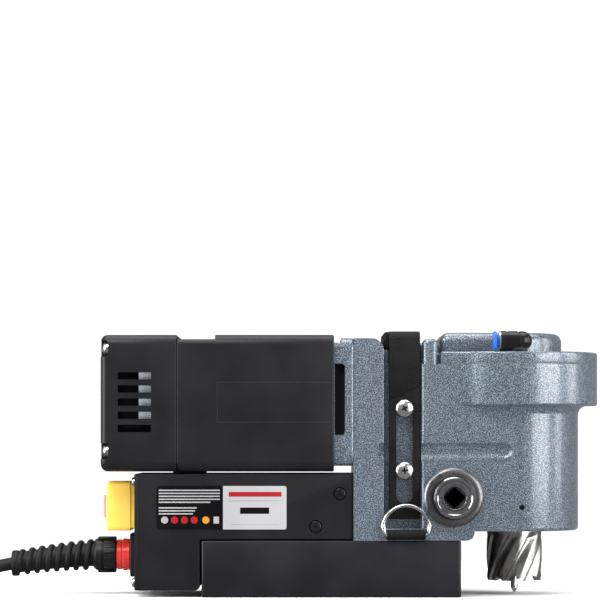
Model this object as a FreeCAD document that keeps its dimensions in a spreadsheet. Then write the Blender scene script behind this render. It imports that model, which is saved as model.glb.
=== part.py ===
import FreeCAD, Part
import math
import os
import re

from FreeCAD import Rotation, Vector

# Low-profile magnetic drill press. The origin is the centre of the magnet's bottom face; +X points
# to the cutter, +Y to the rear side and +Z up. All sizes are in millimetres.

dims = {
    # magnet base
    "magnet_long": 166, "magnet_wide": 84, "magnet_tall": 36, "magnet_edge": 1.8,
    "coil_long": 120, "coil_wide": 44, "coil_tall": 22,
    # control box
    "box_left": -126, "box_right": 14, "box_wide": 80, "box_low": 4, "box_step": 36.8,
    "box_high": 78.7, "box_wall": 2.5, "magnet_gap": 1.2,
    # motor
    "motor_axis": 123.9, "motor_wide": 90, "motor_tall": 87.4, "motor_wall": 3, "motor_edge": 6.5,
    "cap_left": -147.4, "cap_right": -98.7, "motor_right": 1.7, "flange_right": 14.2,
    "slot_left": -136.3, "slot_right": -115, "slot_tall": 4.7, "slot_pitch": 8.4, "slot_top": 143.7,
    "shaft_rad": 5, "core_rad": 23, "stator_rad": 24, "running_fit": 0.05,
    # gear housing
    "foot_z": 36, "nose_z": 41.9, "body_wide": 84, "shoulder_z": 149.9, "pad_z": 165.5,
    "channel_left": 33, "channel_right": 57.6, "channel_deep": 8,
    "spindle_x": 120, "nose_rad": 41.5, "chamber_rad": 53.9, "chamber_z": 122.6, "deck_z": 148.9,
    "plate_z": 156.9, "cap_z": 169.4, "cap_rad": 30.6, "cap_edge": 70,
    # gears
    "counter_x": 72, "spur_low": 136, "spur_high": 146, "spur_module": 1.5,
    "spur_teeth": 17, "final_teeth": 47, "bevel_module": 1.4, "bevel_teeth": 12, "crown_teeth": 23,
    "counter_rad": 6,
    # spindle and feed
    "quill_rad": 28, "quill_bore": 22, "quill_low": 54, "quill_high": 118, "spindle_rad": 17,
    "spline_rad": 10, "feed_x": 77.9, "feed_z": 63.8, "rack_module": 2, "feed_teeth": 16,
    "ring_rad": 18.8, "hub_rad": 13.2, "hub_out": 62, "drive_square": 9.525, "stroke": 38,
    "cutter_rad": 18, "cutter_low": 9, "cutter_high": 43.7, "shank_rad": 9.525, "shank_high": 68.7,
    "pilot_rad": 3.175, "pilot_tip": 1, "pilot_high": 77,
    # strap
    "strap_x": 46.8, "strap_wide": 20, "strap_thick": 3.2, "strap_y": 37.2, "strap_top": 170,
    "slot_wide": 10.6, "strap_slot_low": 60, "strap_slot_high": 125, "strap_low": 49.8,
    # cord
    "cord_dia": 8.4, "coil_x": -312, "coil_y": 46, "coil_mean": 46,
}

doc = FreeCAD.newDocument("MagneticDrillPress")
sheet = doc.addObject("Spreadsheet::Sheet", "Dims")
for row, (alias, size) in enumerate(dims.items(), start=1):
    sheet.set(f"A{row}", alias)
    sheet.set(f"B{row}", str(size))
    sheet.setAlias(f"B{row}", alias)
doc.recompute()

nodes = {}


def dim(alias):
    return float(sheet.get(alias))


def formula(value):
    # "magnet_long / 2" becomes "Dims.magnet_long / 2"; plain numbers stay as they are
    return re.sub(r"[a-z][a-z_]*", lambda word: "Dims." + word.group(), str(value))


def bind(shape, sizes):
    for key, value in sizes.items():
        shape.setExpression(key, formula(value))


def label(name, shape):
    shape.Label = name
    nodes[name] = shape
    return shape


def block(x, y, z):
    # a box between two corners: each argument is a pair, from low to high
    shape = doc.addObject("Part::Box", "Block")
    for key, place, (low, high) in zip(("Length", "Width", "Height"), "xyz", (x, y, z)):
        bind(shape, {key: f"({high}) - ({low})", f"Placement.Base.{place}": low})
    return shape


def rod(along, centre, ends, radius):
    # a cylinder along one axis; centre gives the other two coordinates, in x, y, z order
    shape = doc.addObject("Part::Cylinder", "Rod")
    turn = {"x": Rotation(Vector(0, 1, 0), 90), "y": Rotation(Vector(1, 0, 0), -90), "z": Rotation()}
    shape.Placement.Rotation = turn[along]
    base = dict(zip([axis for axis in "xyz" if axis != along], centre))
    base[along] = ends[0]
    bind(shape, {"Radius": radius, "Height": f"({ends[1]}) - ({ends[0]})"})
    bind(shape, {f"Placement.Base.{axis}": value for axis, value in base.items()})
    return shape


def cone(along, centre, ends, radii):
    shape = doc.addObject("Part::Cone", "Taper")
    turn = {"x": Rotation(Vector(0, 1, 0), 90), "y": Rotation(Vector(1, 0, 0), -90), "z": Rotation()}
    shape.Placement.Rotation = turn[along]
    base = dict(zip([axis for axis in "xyz" if axis != along], centre))
    base[along] = ends[0]
    bind(shape, {"Radius1": radii[0], "Radius2": radii[1], "Height": f"({ends[1]}) - ({ends[0]})"})
    bind(shape, {f"Placement.Base.{axis}": value for axis, value in base.items()})
    return shape


def fuse(*shapes):
    if len(shapes) == 1:
        return shapes[0]
    joined = doc.addObject("Part::MultiFuse", "Joined")
    joined.Shapes = list(shapes)
    return joined


def cut(base, *tools):
    rest = doc.addObject("Part::Cut", "Rest")
    rest.Base = base
    rest.Tool = fuse(*tools)
    return rest


def common(first, second):
    both = doc.addObject("Part::Common", "Both")
    both.Base = first
    both.Tool = second
    return both


def rounded(base, radius, wanted):
    # rounds the edges for which wanted(edge) is true
    doc.recompute()
    soft = doc.addObject("Part::Fillet", "Soft")
    soft.Base = base
    picked = [n for n, edge in enumerate(base.Shape.Edges, start=1) if wanted(edge)]
    soft.Edges = [(n, dim(radius), dim(radius)) for n in picked]
    return soft


def feature(name, shape):
    piece = doc.addObject("Part::Feature", name)
    piece.Shape = shape
    return piece


def straight(edge, axis):
    return edge.Curve.TypeId == "Part::GeomLine" and abs(getattr(edge.Curve.Direction, axis)) > 0.999


def prism(points, along):
    wire = Part.makePolygon(list(points) + [points[0]])
    return Part.Face(wire).extrude(along)


def sketched(name, plane, outline, length, middle=False):
    # a PartDesign body padded from one closed outline of straight lines on an origin plane
    body = doc.addObject("PartDesign::Body", name + "_body")
    face = next(item for item in body.Origin.OriginFeatures if item.Role == plane)
    sketch = body.newObject("Sketcher::SketchObject", name + "_outline")
    sketch.AttachmentSupport = [(face, "")]
    sketch.MapMode = "FlatFace"
    for start, end in zip(outline, outline[1:] + outline[:1]):
        sketch.addGeometry(Part.LineSegment(Vector(*start, 0), Vector(*end, 0)), False)
    pad = body.newObject("PartDesign::Pad", name + "_pad")
    pad.Profile = sketch
    pad.setExpression("Length", formula(length))
    pad.Midplane = middle
    doc.recompute()
    return body


def rows(count, pitch, first=0.0):
    return [first + pitch * n for n in range(count)]


# gear outlines

pressure = math.radians(20)
backlash = 0.3


def spur_stations(teeth, module):
    # radius and half width of an involute tooth from root to tip
    pitch = module * teeth / 2
    base = pitch * math.cos(pressure)

    def half_angle(radius):
        lean = math.acos(min(1.0, base / radius))
        swept = math.tan(pressure) - pressure - math.tan(lean) + lean
        return (math.pi / 2 - backlash / module) / teeth + swept

    radii = [pitch - 1.25 * module, max(base, pitch - module), pitch, pitch + module * 0.95]
    return [(radius, radius * half_angle(max(radius, base))) for radius in radii]


def bevel_stations(teeth, module, cone_angle):
    # a straight-sided bevel tooth, measured in the plane square to its axis
    pitch, squeeze = module * teeth / 2, math.cos(cone_angle)
    middle = math.pi * module / 4 - backlash
    slope = math.tan(pressure) * squeeze
    rise, drop = 0.7 * module / squeeze, 1.15 * module / squeeze
    return [(pitch - drop, middle + drop * slope), (pitch + rise, middle - rise * slope)]


def tooth_ring(teeth, stations, phase, scale=1.0):
    # the closed outline of a whole gear about the Z axis; phase is the angle of one tooth's middle
    points = []
    for n in range(teeth):
        middle = phase + 2 * math.pi * n / teeth
        sides = [(radius, -half / radius) for radius, half in stations]
        sides += [(radius, half / radius) for radius, half in reversed(stations)]
        for radius, offset in sides:
            turn = middle + offset
            points.append(Vector(math.cos(turn), math.sin(turn), 0) * radius * scale)
    return Part.makePolygon(points + [points[0]])


def spur_gear(teeth, module, phase, low, high):
    ring = Part.Face(tooth_ring(teeth, spur_stations(teeth, module), phase))
    return ring.extrude(Vector(0, 0, high - low)).translated(Vector(0, 0, low))


def bevel_gear(teeth, module, cone_angle, phase, shrink):
    # teeth taper towards the apex at the origin; the large end is at the lower z
    stations = bevel_stations(teeth, module, cone_angle)
    depth = module * teeth / 2 / math.tan(cone_angle)
    large = tooth_ring(teeth, stations, phase).translated(Vector(0, 0, -depth))
    small = tooth_ring(teeth, stations, phase, shrink).translated(Vector(0, 0, -depth * shrink))
    return Part.makeLoft([large, small], True, True)


def screw(along, centre, face, radius, head, length):
    # pan-head screw with its head outside the face; a negative head or length reverses it
    tail = ("x", "y", "z").index(along)
    sign = 1 if head > 0 else -1
    axis = [0, 0, 0]
    axis[tail] = sign
    place = list(centre)
    place.insert(tail, face)
    axis, place = Vector(*axis), Vector(*place)
    head_part = Part.makeCylinder(radius, abs(head), place, axis)
    rim = [edge for edge in head_part.Edges if edge.Curve.TypeId == "Part::GeomCircle"
           and abs((edge.CenterOfMass - place).dot(axis) - abs(head)) < 0.01]
    head_part = head_part.makeFillet(min(abs(head) * 0.6, radius * 0.5), rim)
    return head_part.fuse(Part.makeCylinder(radius * 0.5, length, place, -axis)).removeSplitter()


# base

def magnet():
    half = dim("magnet_long") / 2
    outline = [(-half, 0), (half, 0), (half, dim("magnet_tall")), (-half, dim("magnet_tall"))]
    body = sketched("magnet", "XZ_Plane", outline, "magnet_wide", middle=True)
    soft = rounded(body, "magnet_edge", lambda edge: straight(edge, "z"))
    pocket = block(("-coil_long / 2", "coil_long / 2"), ("-coil_wide / 2", "coil_wide / 2"),
                   ("magnet_tall - coil_tall - 6", "magnet_tall - 6"))
    label("magnet_body", cut(soft, pocket))
    winding = block(("-coil_long / 2 + 0.2", "coil_long / 2 - 0.2"),
                    ("-coil_wide / 2 + 0.2", "coil_wide / 2 - 0.2"),
                    ("magnet_tall - coil_tall - 6", "magnet_tall - 6.2"))
    core = block(("-coil_long / 2 + 14", "coil_long / 2 - 14"),
                 ("-coil_wide / 2 + 14", "coil_wide / 2 - 14"),
                 ("magnet_tall - coil_tall - 7", "magnet_tall - 5"))
    label("magnet_coil", cut(winding, core))


def control_box():
    left, right = dim("box_left") + 2.5, dim("box_right")
    low, step, high = dim("box_low"), dim("box_step"), dim("box_high")
    inner = -dim("magnet_long") / 2 - dim("magnet_gap")
    wall = dim("box_wall")
    outer = [(left, low), (inner, low), (inner, step), (right, step), (right, high), (left, high)]
    hollow = [(left - wall, low + wall), (inner - wall, low + wall), (inner - wall, step + wall),
              (right - wall, step + wall), (right - wall, high - wall), (left - wall, high - wall)]
    shell = cut(sketched("box", "XZ_Plane", outer, "box_wide", middle=True),
                sketched("box_hollow", "XZ_Plane", hollow, "box_wide - 2 * box_wall", middle=True))
    seats = [rod("y", (x, z), ("-box_wide / 2 - 1", "-box_wide / 2 + 1.6"), 4.4)
             for x, z in ((5.5, 66), (-10, 45))]
    holes = [rod("y", (x, z), ("-box_wide / 2 - 1", "-box_wide / 2 + 4"), 2.1)
             for x, z in ((5.5, 66), (-10, 45))]
    passage = rod("z", (-92, 0), ("box_high - 6", "box_high + 1"), 7)
    label("control_box", cut(shell, *seats, *holes, passage))
    heads = [screw("y", (x, z), -38.4, 3.9, -1.2, 6) for x, z in ((5.5, 66), (-10, 45))]
    label("box_screws", feature("BoxScrews", Part.makeCompound(heads)))

    panel = block(("box_left", "box_left + 2.5"), ("-box_wide / 2", "box_wide / 2"),
                  ("box_low", "box_high"))
    cable_way = rod("x", (0, 25.6), ("box_left - 1", "box_left + 4"), 8)
    switch_way = block(("box_left - 1", "box_left + 4"), (-17, 17), (45, 70))
    bores = [rod("x", (y, z), ("box_left - 1", "box_left + 4"), 1.6)
             for y in (-35, 35) for z in (9, 73.5)]
    label("end_panel", cut(panel, cable_way, switch_way, *bores))
    corners = [screw("x", (y, z), dim("box_left"), 3.2, -2.2, 2.4)
               for y in (-35, 35) for z in (9, 73.5)]
    label("panel_screws", feature("PanelScrews", Part.makeCompound(corners)))

    label("label_plate", block((-111.7, -28.6), ("-box_wide / 2 - 0.5", "-box_wide / 2"), (43, 71)))
    label("circuit_board", block((-78, -4), (-30, 30), (48, 49.6)))
    buffer_parts = fuse(rod("z", (-92, 0), ("box_high", "motor_axis - motor_tall / 2"), 11),
                        rod("z", (-92, 0), ("box_high - 2.5", "box_high"), 7))
    label("rubber_buffer", cut(buffer_parts, rod("z", (-92, 0), ("box_high - 4", "box_high + 4"), 4)))


def switch():
    base = block((-130.7, "box_left"), (-20.5, 20.5), (43.2, 72.2))
    yellow = block((-145.2, -130.7), (-21, 21), (42, 73.3))
    neck = block(("box_left", "box_left + 14"), (-16.5, 16.5), (45.5, 69.5))
    wells = [block((-146, -118), (y - 8.3, y + 8.3), (49.7, 65.3)) for y in (-9.5, 9.5)]
    label("switch_housing", cut(fuse(base, yellow, neck), *wells))
    for name, y, out in (("stop_button", -9.5, -147.4), ("start_button", 9.5, -145.6)):
        cap = block((out, -132), (y - 8, y + 8), (50, 65))
        label(name, fuse(cap, rod("x", (y, 57.5), (-132, -124), 3)))
    hood_out = block((-148.2, -145.2), (-20, 20), (45, 70))
    hood_in = block((-149, -145), (-18.4, 18.4), (46.6, 68.4))
    label("switch_hood", cut(hood_out, hood_in))


def power_inlet():
    flange = block((-130.4, "box_left"), (-14, 14), (11.5, 39.7))
    tail = rod("x", (0, 25.6), ("box_left", "box_left + 12"), 7.8)
    label("power_inlet", cut(fuse(flange, tail), rod("x", (0, 25.6), (-131, "box_left + 2"), 5)))
    label("inlet_collar", cut(rod("x", (0, 25.6), (-139.7, -130.4), 10),
                              rod("x", (0, 25.6), (-140, -130), 5)))
    nut = fuse(rod("x", (0, 25.6), (-154.6, -139.7), 10.6), block((-152, -139.7), (-5, 5), (14, 37.2)))
    label("connector_body", cut(nut, rod("x", (0, 25.6), (-155, -139), 5)))


# supply cord

def rounded_path(points):
    # straight runs joined by tangent arcs, each as large as the shorter run beside it allows
    edges, here = [], points[0]
    for before, corner, after in zip(points, points[1:], points[2:]):
        to_corner, away = corner - before, after - corner
        trim = 0.45 * min(to_corner.Length, away.Length)
        to_corner.normalize()
        away.normalize()
        radius = trim / math.tan(to_corner.getAngle(away) / 2)
        print("cord bend radius", round(radius, 1))
        start, end = corner - to_corner * trim, corner + away * trim
        inward = (away - to_corner).normalize()
        middle = corner + inward * (math.hypot(radius, trim) - radius)
        edges += [Part.LineSegment(here, start).toShape(), Part.Arc(start, middle, end).toShape()]
        here = end
    edges.append(Part.LineSegment(here, points[-1]).toShape())
    return Part.Wire(edges)


def tube(path, radius):
    start = path.Edges[0]
    ring = Part.makeCircle(radius, start.valueAt(start.FirstParameter),
                           start.tangentAt(start.FirstParameter))
    return path.makePipeShell([Part.Wire(ring)], True, False)


def supply_cord():
    radius = dim("cord_dia") / 2
    exit_slope = [Vector(-154.6, 0, 25.6), Vector(-182, 0, 23.4), Vector(-208, 0, 19.6)]
    # the strain relief droops with the cord and tapers to its end collar
    sleeve = Part.makeLoft([
        Part.Wire(Part.makeCircle(size, place, Vector(-1, 0, lean)))
        for place, size, lean in zip(exit_slope, (10.3, 9.6, 8.5), (0, -0.12, -0.16))], True)
    bore = Part.makeLoft([
        Part.Wire(Part.makeCircle(radius, place + Vector(shift, 0, -shift * lean), Vector(-1, 0, lean)))
        for place, shift, lean in zip(exit_slope, (1, 0, -1), (0, -0.12, -0.16))], True)
    label("strain_relief", feature("StrainRelief", sleeve.cut(bore)))

    points = [Vector(-208, 0, 19.6), Vector(-223, 0.3, 16.9), Vector(-239, -0.6, 12.2),
              Vector(-256, 0.2, 7.4), Vector(-276, 0.9, 4.9)]
    path = rounded_path(points)
    cord = tube(path, radius)
    section = math.pi * radius ** 2
    print("cord tube volume", round(cord.Volume), "of", round(section * path.Length))
    label("power_cord", feature("PowerCord", cord))

    coil = cut(rod("z", ("coil_x", "coil_y"), (0, "3 * cord_dia"), "coil_mean + 1.5 * cord_dia"),
               rod("z", ("coil_x", "coil_y"), (-1, "3 * cord_dia + 1"), "coil_mean - 1.5 * cord_dia"))
    label("cord_coil", coil)

    side = "coil_y + coil_mean"
    axis_z = "3 * cord_dia + 17.8"
    neck = cone("x", (side, axis_z), (-312, -294), (6, 9))
    grip = rod("x", (side, axis_z), (-294, -258), 18)
    label("plug_body", fuse(neck, grip))
    pins = [rod("x", (f"{side} + ({offset})", axis_z), (-258, -239), 2.4) for offset in (-9.5, 9.5)]
    label("plug_pins", fuse(*pins))


# motor

def motor_shell(left, right, inset):
    # a rounded square tube section along X; inset makes the hollow
    return block((left, right), (f"-motor_wide / 2 + {inset}", f"motor_wide / 2 - {inset}"),
                 (f"motor_axis - motor_tall / 2 + {inset}", f"motor_axis + motor_tall / 2 - {inset}"))


def long_edges(edge):
    return straight(edge, "x")


def motor():
    outer = rounded(motor_shell("cap_left", "cap_right", 0), "motor_edge", long_edges)
    hollow = motor_shell("cap_left + 4", "cap_right + 1", "motor_wall")
    slots = [block(("slot_left", "slot_right"), (f"{side} * motor_wide / 2 - 4",
                                                f"{side} * motor_wide / 2 + 4"),
                   (f"slot_top - slot_tall - {drop}", f"slot_top - {drop}"))
             for side in (-1, 1) for drop in rows(5, dim("slot_pitch"))]
    corners = [(side, z) for side in (-1, 1) for z in (93.2, 158.8)]
    notches = [block(("cap_left - 1", "cap_left + 5.1"), sorted_pair(side, 34.5, 46.5), (z - 5.2, z + 5.2))
               for side, z in corners]
    screw_ways = [rod("x", (39.7 * side, z), ("cap_left + 4", "cap_left + 12"), 2.2)
                  for side, z in corners]
    posts = [block(("cap_left + 3", "cap_left + 18"), sorted_pair(side, 33, 42.5), (z - 7, z + 7))
             for side, z in corners]
    cover = cut(outer, hollow, *slots)
    boss = cut(rod("x", (0, "motor_axis"), ("cap_left + 4", "cap_left + 18"), 16),
               rod("x", (0, "motor_axis"), ("cap_left + 7", "cap_left + 19"), 11))
    label("rear_cover", cut(fuse(cover, boss, *posts), *notches, *screw_ways))
    screws = [screw("x", (39.7 * side, z), dim("cap_left") + 5.1, 4.4, -4, 5) for side, z in corners]
    label("rear_cover_screws", feature("RearCoverScrews", Part.makeCompound(screws)))

    barrel = rounded(motor_shell("cap_right", "motor_right", 0), "motor_edge", long_edges)
    tube_part = cut(barrel, motor_shell("cap_right - 1", "motor_right + 1", "motor_wall"))
    roof_z = "motor_axis + motor_tall / 2 - 2.9"
    roof = block(("cap_right", -73.4), (-42.5, 42.5), (roof_z + " - 3.2", roof_z))
    step = block(("cap_right + 0.9", -74.2), (-48, 48), (roof_z, roof_z + " + 5"))
    vents = [block((x, x + 1.1), (-30, 30), (roof_z + " - 5", roof_z + " + 1"))
             for x in (-95.8 + 2.4 * n for n in range(9))]
    label("motor_housing", cut(fuse(tube_part, roof), step, *vents))

    stator = common(rod("x", (0, "motor_axis"), (-73, -20), 44),
                    motor_shell(-73, -20, "motor_wall"))
    label("field_stator", cut(stator, rod("x", (0, "motor_axis"), (-74, -19), "stator_rad")))

    label("armature_shaft", rod("x", (0, "motor_axis"), (-139, 53), "shaft_rad"))
    core = rod("x", (0, "motor_axis"), (-73, -20), "core_rad")
    slots = []
    for n in range(12):
        slot = Part.makeBox(80, 3, 6, Vector(-90, -1.5, dim("core_rad") - 4))
        slot.rotate(Vector(0, 0, 0), Vector(1, 0, 0), 30 * n)
        slots.append(slot.translated(Vector(0, 0, dim("motor_axis"))))
    grooves = feature("CoreSlots", slots[0].fuse(slots[1:]))
    shaft_way = ("x", (0, "motor_axis"))
    label("armature_core", cut(core, grooves, rod(*shaft_way, (-74, -19), "shaft_rad")))
    label("commutator", cut(rod(*shaft_way, (-108, -90), 12), rod(*shaft_way, (-109, -89), "shaft_rad")))
    holders = [block((-105, -93), sorted_pair(side, 13, 42), ("motor_axis - 5", "motor_axis + 5"))
               for side in (-1, 1)]
    ways = [block((-103, -95), sorted_pair(side, 12, 33), ("motor_axis - 3", "motor_axis + 3"))
            for side in (-1, 1)]
    label("brush_holders", cut(fuse(*holders), *ways))
    label("brushes", fuse(*[block((-103, -95), sorted_pair(side, 12.3, 30),
                                  ("motor_axis - 3", "motor_axis + 3")) for side in (-1, 1)]))
    fan_blades = []
    for n in range(11):
        blade = Part.makeBox(7, 2, 24, Vector(-8, -1, 11))
        blade.rotate(Vector(0, 0, 0), Vector(1, 0, 0), 360 / 11 * n)
        fan_blades.append(blade.translated(Vector(0, 0, dim("motor_axis"))))
    wheel = Part.makeCylinder(36, 2, Vector(-9.5, 0, dim("motor_axis")), Vector(1, 0, 0))
    hub = Part.makeCylinder(12, 9, Vector(-9.5, 0, dim("motor_axis")), Vector(1, 0, 0))
    fan = feature("FanBlades", wheel.fuse([hub] + fan_blades))
    label("fan", cut(fan, rod(*shaft_way, (-12, 2), "shaft_rad")))
    bearing_bores = [rod(*shaft_way, ends, "shaft_rad + running_fit") for ends in ((-141, -129), (2, 14))]
    races = [rod(*shaft_way, (-140, -130), 11), rod(*shaft_way, (4, 13), 13)]
    label("motor_bearings", cut(fuse(*races), *bearing_bores))

    flange = rounded(block(("motor_right", "flange_right"), (-43, 43), (83.8, 165.5)), "motor_edge",
                     long_edges)
    lip = block((1, 6.5), (-44, 44), (162.6, 167))
    seat = rod(*shaft_way, (4, 15), 13)
    way = rod(*shaft_way, (0, 15), 8)
    exhaust = [block((2.3, 8.7), sorted_pair(side, 38, 44), (103.6, 149.2)) for side in (-1, 1)]
    label("motor_flange", cut(flange, lip, seat, way, *exhaust))


def sorted_pair(side, near, far):
    return tuple(sorted((side * near, side * far)))


# gears

def gears():
    axis_z, counter, spindle = dim("motor_axis"), dim("counter_x"), dim("spindle_x")
    module = dim("bevel_module")
    small, large = int(dim("bevel_teeth")), int(dim("crown_teeth"))
    cone_angle = math.atan(small / large)
    shrink = 0.64
    # the pinion's teeth taper along +X towards the apex, which lies on the countershaft's axis
    pinion = bevel_gear(small, module, cone_angle, 0, shrink)
    pinion = pinion.fuse(Part.makeCylinder(6.2, 6, Vector(0, 0, -module * large / 2 - 5.8)))
    pinion.rotate(Vector(0, 0, 0), Vector(0, 1, 0), 90)
    label("bevel_pinion", cut(feature("BevelTeeth", pinion.translated(Vector(counter, 0, axis_z))),
                              rod("x", (0, "motor_axis"), (40, 53), "shaft_rad")))
    crown = bevel_gear(large, module, math.pi / 2 - cone_angle, math.pi * (1 + 1 / large), shrink)
    crown = crown.fuse(Part.makeCylinder(11, 8, Vector(0, 0, -module * small / 2 - 7.9)))
    label("bevel_gear", cut(feature("CrownTeeth", crown.translated(Vector(counter, 0, axis_z))),
                            rod("z", ("counter_x", 0), (90, 130), "counter_rad")))
    label("countershaft", rod("z", ("counter_x", 0), (93, 156), "counter_rad"))
    spur = spur_gear(int(dim("spur_teeth")), dim("spur_module"), math.pi / dim("spur_teeth"),
                     dim("spur_low") - 0.5, dim("spur_high") + 0.5)
    label("spur_pinion", cut(feature("SpurTeeth", spur.translated(Vector(counter, 0, 0))),
                             rod("z", ("counter_x", 0), (130, 150), "counter_rad")))
    rim = spur_gear(int(dim("final_teeth")), dim("spur_module"), math.pi, dim("spur_low"),
                    dim("spur_high")).translated(Vector(spindle, 0, 0))
    hub = rod("z", ("spindle_x", 0), (119.5, 156.3), 17)
    spline_way = feature("SplineWay", spline(118, 158, dim("running_fit")))
    label("final_gear", cut(fuse(feature("FinalTeeth", rim), hub), spline_way))

    quill_side = ("z", ("spindle_x", 0))
    counter_side = ("z", ("counter_x", 0))
    races = [rod(*quill_side, (119.5, 127), 27), rod(*quill_side, (149.5, 156.5), 26),
             rod(*counter_side, (94, 102), 14), rod(*counter_side, (149.5, 156), 10)]
    bores = [rod(*quill_side, (119, 128), "17 + running_fit"),
             rod(*quill_side, (149, 157), "17 + running_fit"),
             rod(*counter_side, (93, 103), "counter_rad + running_fit"),
             rod(*counter_side, (149, 157), "counter_rad + running_fit")]
    label("gear_bearings", cut(fuse(*races), *bores))


def spline(low, high, clearance):
    # a six-key shaft about the spindle's axis
    core = Part.makeCylinder(dim("spline_rad") - 2 + clearance, high - low, Vector(0, 0, low))
    keys = []
    for n in range(3):
        wide, reach = 2 + clearance, dim("spline_rad") + clearance
        key = Part.makeBox(2 * reach, 2 * wide, high - low, Vector(-reach, -wide, low))
        key.rotate(Vector(0, 0, 0), Vector(0, 0, 1), 60 * n)
        keys.append(key)
    return core.fuse(keys).translated(Vector(dim("spindle_x"), 0, 0))


def gear_housing():
    wide = "body_wide / 2"
    foot_end, pad_right, hump_left, hump_right = 88, 31.1, 58.5, 68
    left, nose, spindle = dim("flange_right"), dim("nose_z"), dim("spindle_x")
    foot, shoulder = dim("foot_z"), dim("shoulder_z")
    outline = [(left, foot), (foot_end, foot), (foot_end + 3, nose), (spindle, nose),
               (spindle, dim("deck_z")), (hump_left, dim("deck_z")), (hump_left, shoulder),
               (left, shoulder)]
    body = sketched("housing", "XZ_Plane", outline, "body_wide", middle=True)
    nose_part = rod("z", ("spindle_x", 0), ("nose_z", "deck_z"), "nose_rad")
    chamber = rod("z", ("spindle_x", 0), ("chamber_z", "deck_z"), "chamber_rad")
    pad = block(("flange_right", pad_right), (f"-{wide}", wide), ("shoulder_z - 1", "pad_z"))
    humps = [block((hump_left, hump_right), sorted_pair(side, 26, 42), ("deck_z - 1", 165))
             for side in (-1, 1)]
    blend = feature("ChamberBlend", chamber_blend())
    casting = fuse(body, nose_part, chamber, pad, *humps, blend)

    channels = [block(("channel_left", "channel_right"), ends, (43, 170))
                for ends in (("-body_wide / 2 - 1", "-body_wide / 2 + channel_deep"),
                             ("body_wide / 2 - channel_deep", "body_wide / 2 + 1"))]
    waves = []
    for side in (-1, 1):
        bar = Part.makeBox(117 - 6 - 31, 6, 12.1, Vector(31, side * 42 - 3, 86.4))
        end = Part.makeCylinder(6.05, 6, Vector(111, side * 42 - 3, 92.45), Vector(0, 1, 0))
        waves.append(bar.fuse(end))
    grooves = feature("SideGrooves", waves[0].fuse(waves[1]))

    quill_bore = rod("z", ("spindle_x", 0), ("nose_z - 1", "chamber_z + 2"), "quill_rad + running_fit")
    bearing_seat = rod("z", ("spindle_x", 0), (119.3, 128), 27)
    gear_room = rod("z", ("spindle_x", 0), (127, "deck_z + 1"), 39)
    pinion_room = rod("z", ("counter_x", 0), (134.5, "deck_z + 1"), 17)
    crown_room = rod("z", ("counter_x", 0), (102, 135), 19.5)
    lower_seat = rod("z", ("counter_x", 0), (94, 103), 14)
    shaft_end = rod("z", ("counter_x", 0), (92, 95), 8)
    motor_way = rod("x", (0, "motor_axis"), ("flange_right - 1", 60), 14)
    feed_bore = rod("y", ("feed_x", "feed_z"), ("-body_wide / 2 - 1", "body_wide / 2 + 1"), 18.5)
    screw_ways = [rod("z", (x, y), (134, "deck_z + 1"), 2.6) for x, y in cover_screw_places()]
    pins = [rod("y", ("strap_x", z), ends, 3.2) for z in (120.6, 80.8)
            for ends in (("-body_wide / 2 - 1", -22), (22, "body_wide / 2 + 1"))]
    label("gear_housing", cut(casting, *channels, grooves, quill_bore, bearing_seat, gear_room,
                              pinion_room, crown_room, lower_seat, shaft_end, motor_way, feed_bore,
                              *screw_ways, *pins))


def chamber_blend():
    # the concave sweep from the flat sides of the body into the round gear chamber
    turn, wide, round_chamber = 28, dim("body_wide") / 2, dim("chamber_rad")
    centre_x = dim("spindle_x") - math.sqrt((round_chamber + turn) ** 2 - (wide + turn) ** 2)
    parts = []
    for side in (-1, 1):
        meet_x = dim("spindle_x")
        centre = Vector(centre_x, side * (wide + turn), 0)
        axis = Vector(dim("spindle_x"), 0, 0)
        on_chamber = centre + (axis - centre).normalize() * turn
        tall = dim("deck_z") - dim("chamber_z")
        bulk = prism([Vector(centre_x, side * (wide - 6), 0), centre, on_chamber,
                      Vector(meet_x, side * (wide - 6), 0)], Vector(0, 0, tall))
        hollow = Part.makeCylinder(turn, tall + 2, centre - Vector(0, 0, 1))
        parts.append(bulk.cut(hollow).translated(Vector(0, 0, dim("chamber_z"))))
    return parts[0].fuse(parts[1])


def cover_screw_places():
    spots = []
    for turn in (-120, -60, 0, 60, 120):
        angle = math.radians(turn)
        spots.append((dim("spindle_x") + 45.5 * math.cos(angle), 45.5 * math.sin(angle)))
    return spots


def gear_cover():
    disc = rod("z", ("spindle_x", 0), ("deck_z", "plate_z"), "chamber_rad")
    bridge = block(("cap_edge", "spindle_x"), (-42, 42), ("deck_z", "plate_z"))
    tongue = rod("z", ("counter_x", 0), ("deck_z + 0.2", "plate_z"), 12)
    cap = block(("cap_edge", "spindle_x"), ("-cap_rad", "cap_rad"), ("plate_z - 1", "cap_z"))
    dome = rod("z", ("spindle_x", 0), ("plate_z - 1", "cap_z"), "cap_rad")
    seat = rod("z", ("spindle_x", 0), ("deck_z - 1", "plate_z"), 26)
    room = rod("z", ("spindle_x", 0), ("plate_z - 2", "cap_z - 3"), 15)
    counter_seat = rod("z", ("counter_x", 0), ("deck_z - 1", "plate_z - 0.6"), 10)
    ways = [rod("z", (x, y), ("deck_z - 1", "plate_z + 1"), 2.6) for x, y in cover_screw_places()]
    ways += [rod("z", (x, y), ("plate_z - 3.8", "plate_z + 1"), 4.9) for x, y in cover_screw_places()]
    port = rod("z", (104, -44), ("plate_z - 7", "plate_z + 1"), 3.4)
    label("gear_cover", cut(fuse(disc, bridge, tongue, cap, dome), seat, room, counter_seat, *ways, port))
    screws = [screw("z", (x, y), dim("plate_z") - 3.8, 4.6, 3.4, 14.2) for x, y in cover_screw_places()]
    label("cover_screws", feature("CoverScrews", Part.makeCompound(screws)))


# spindle and feed

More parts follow.
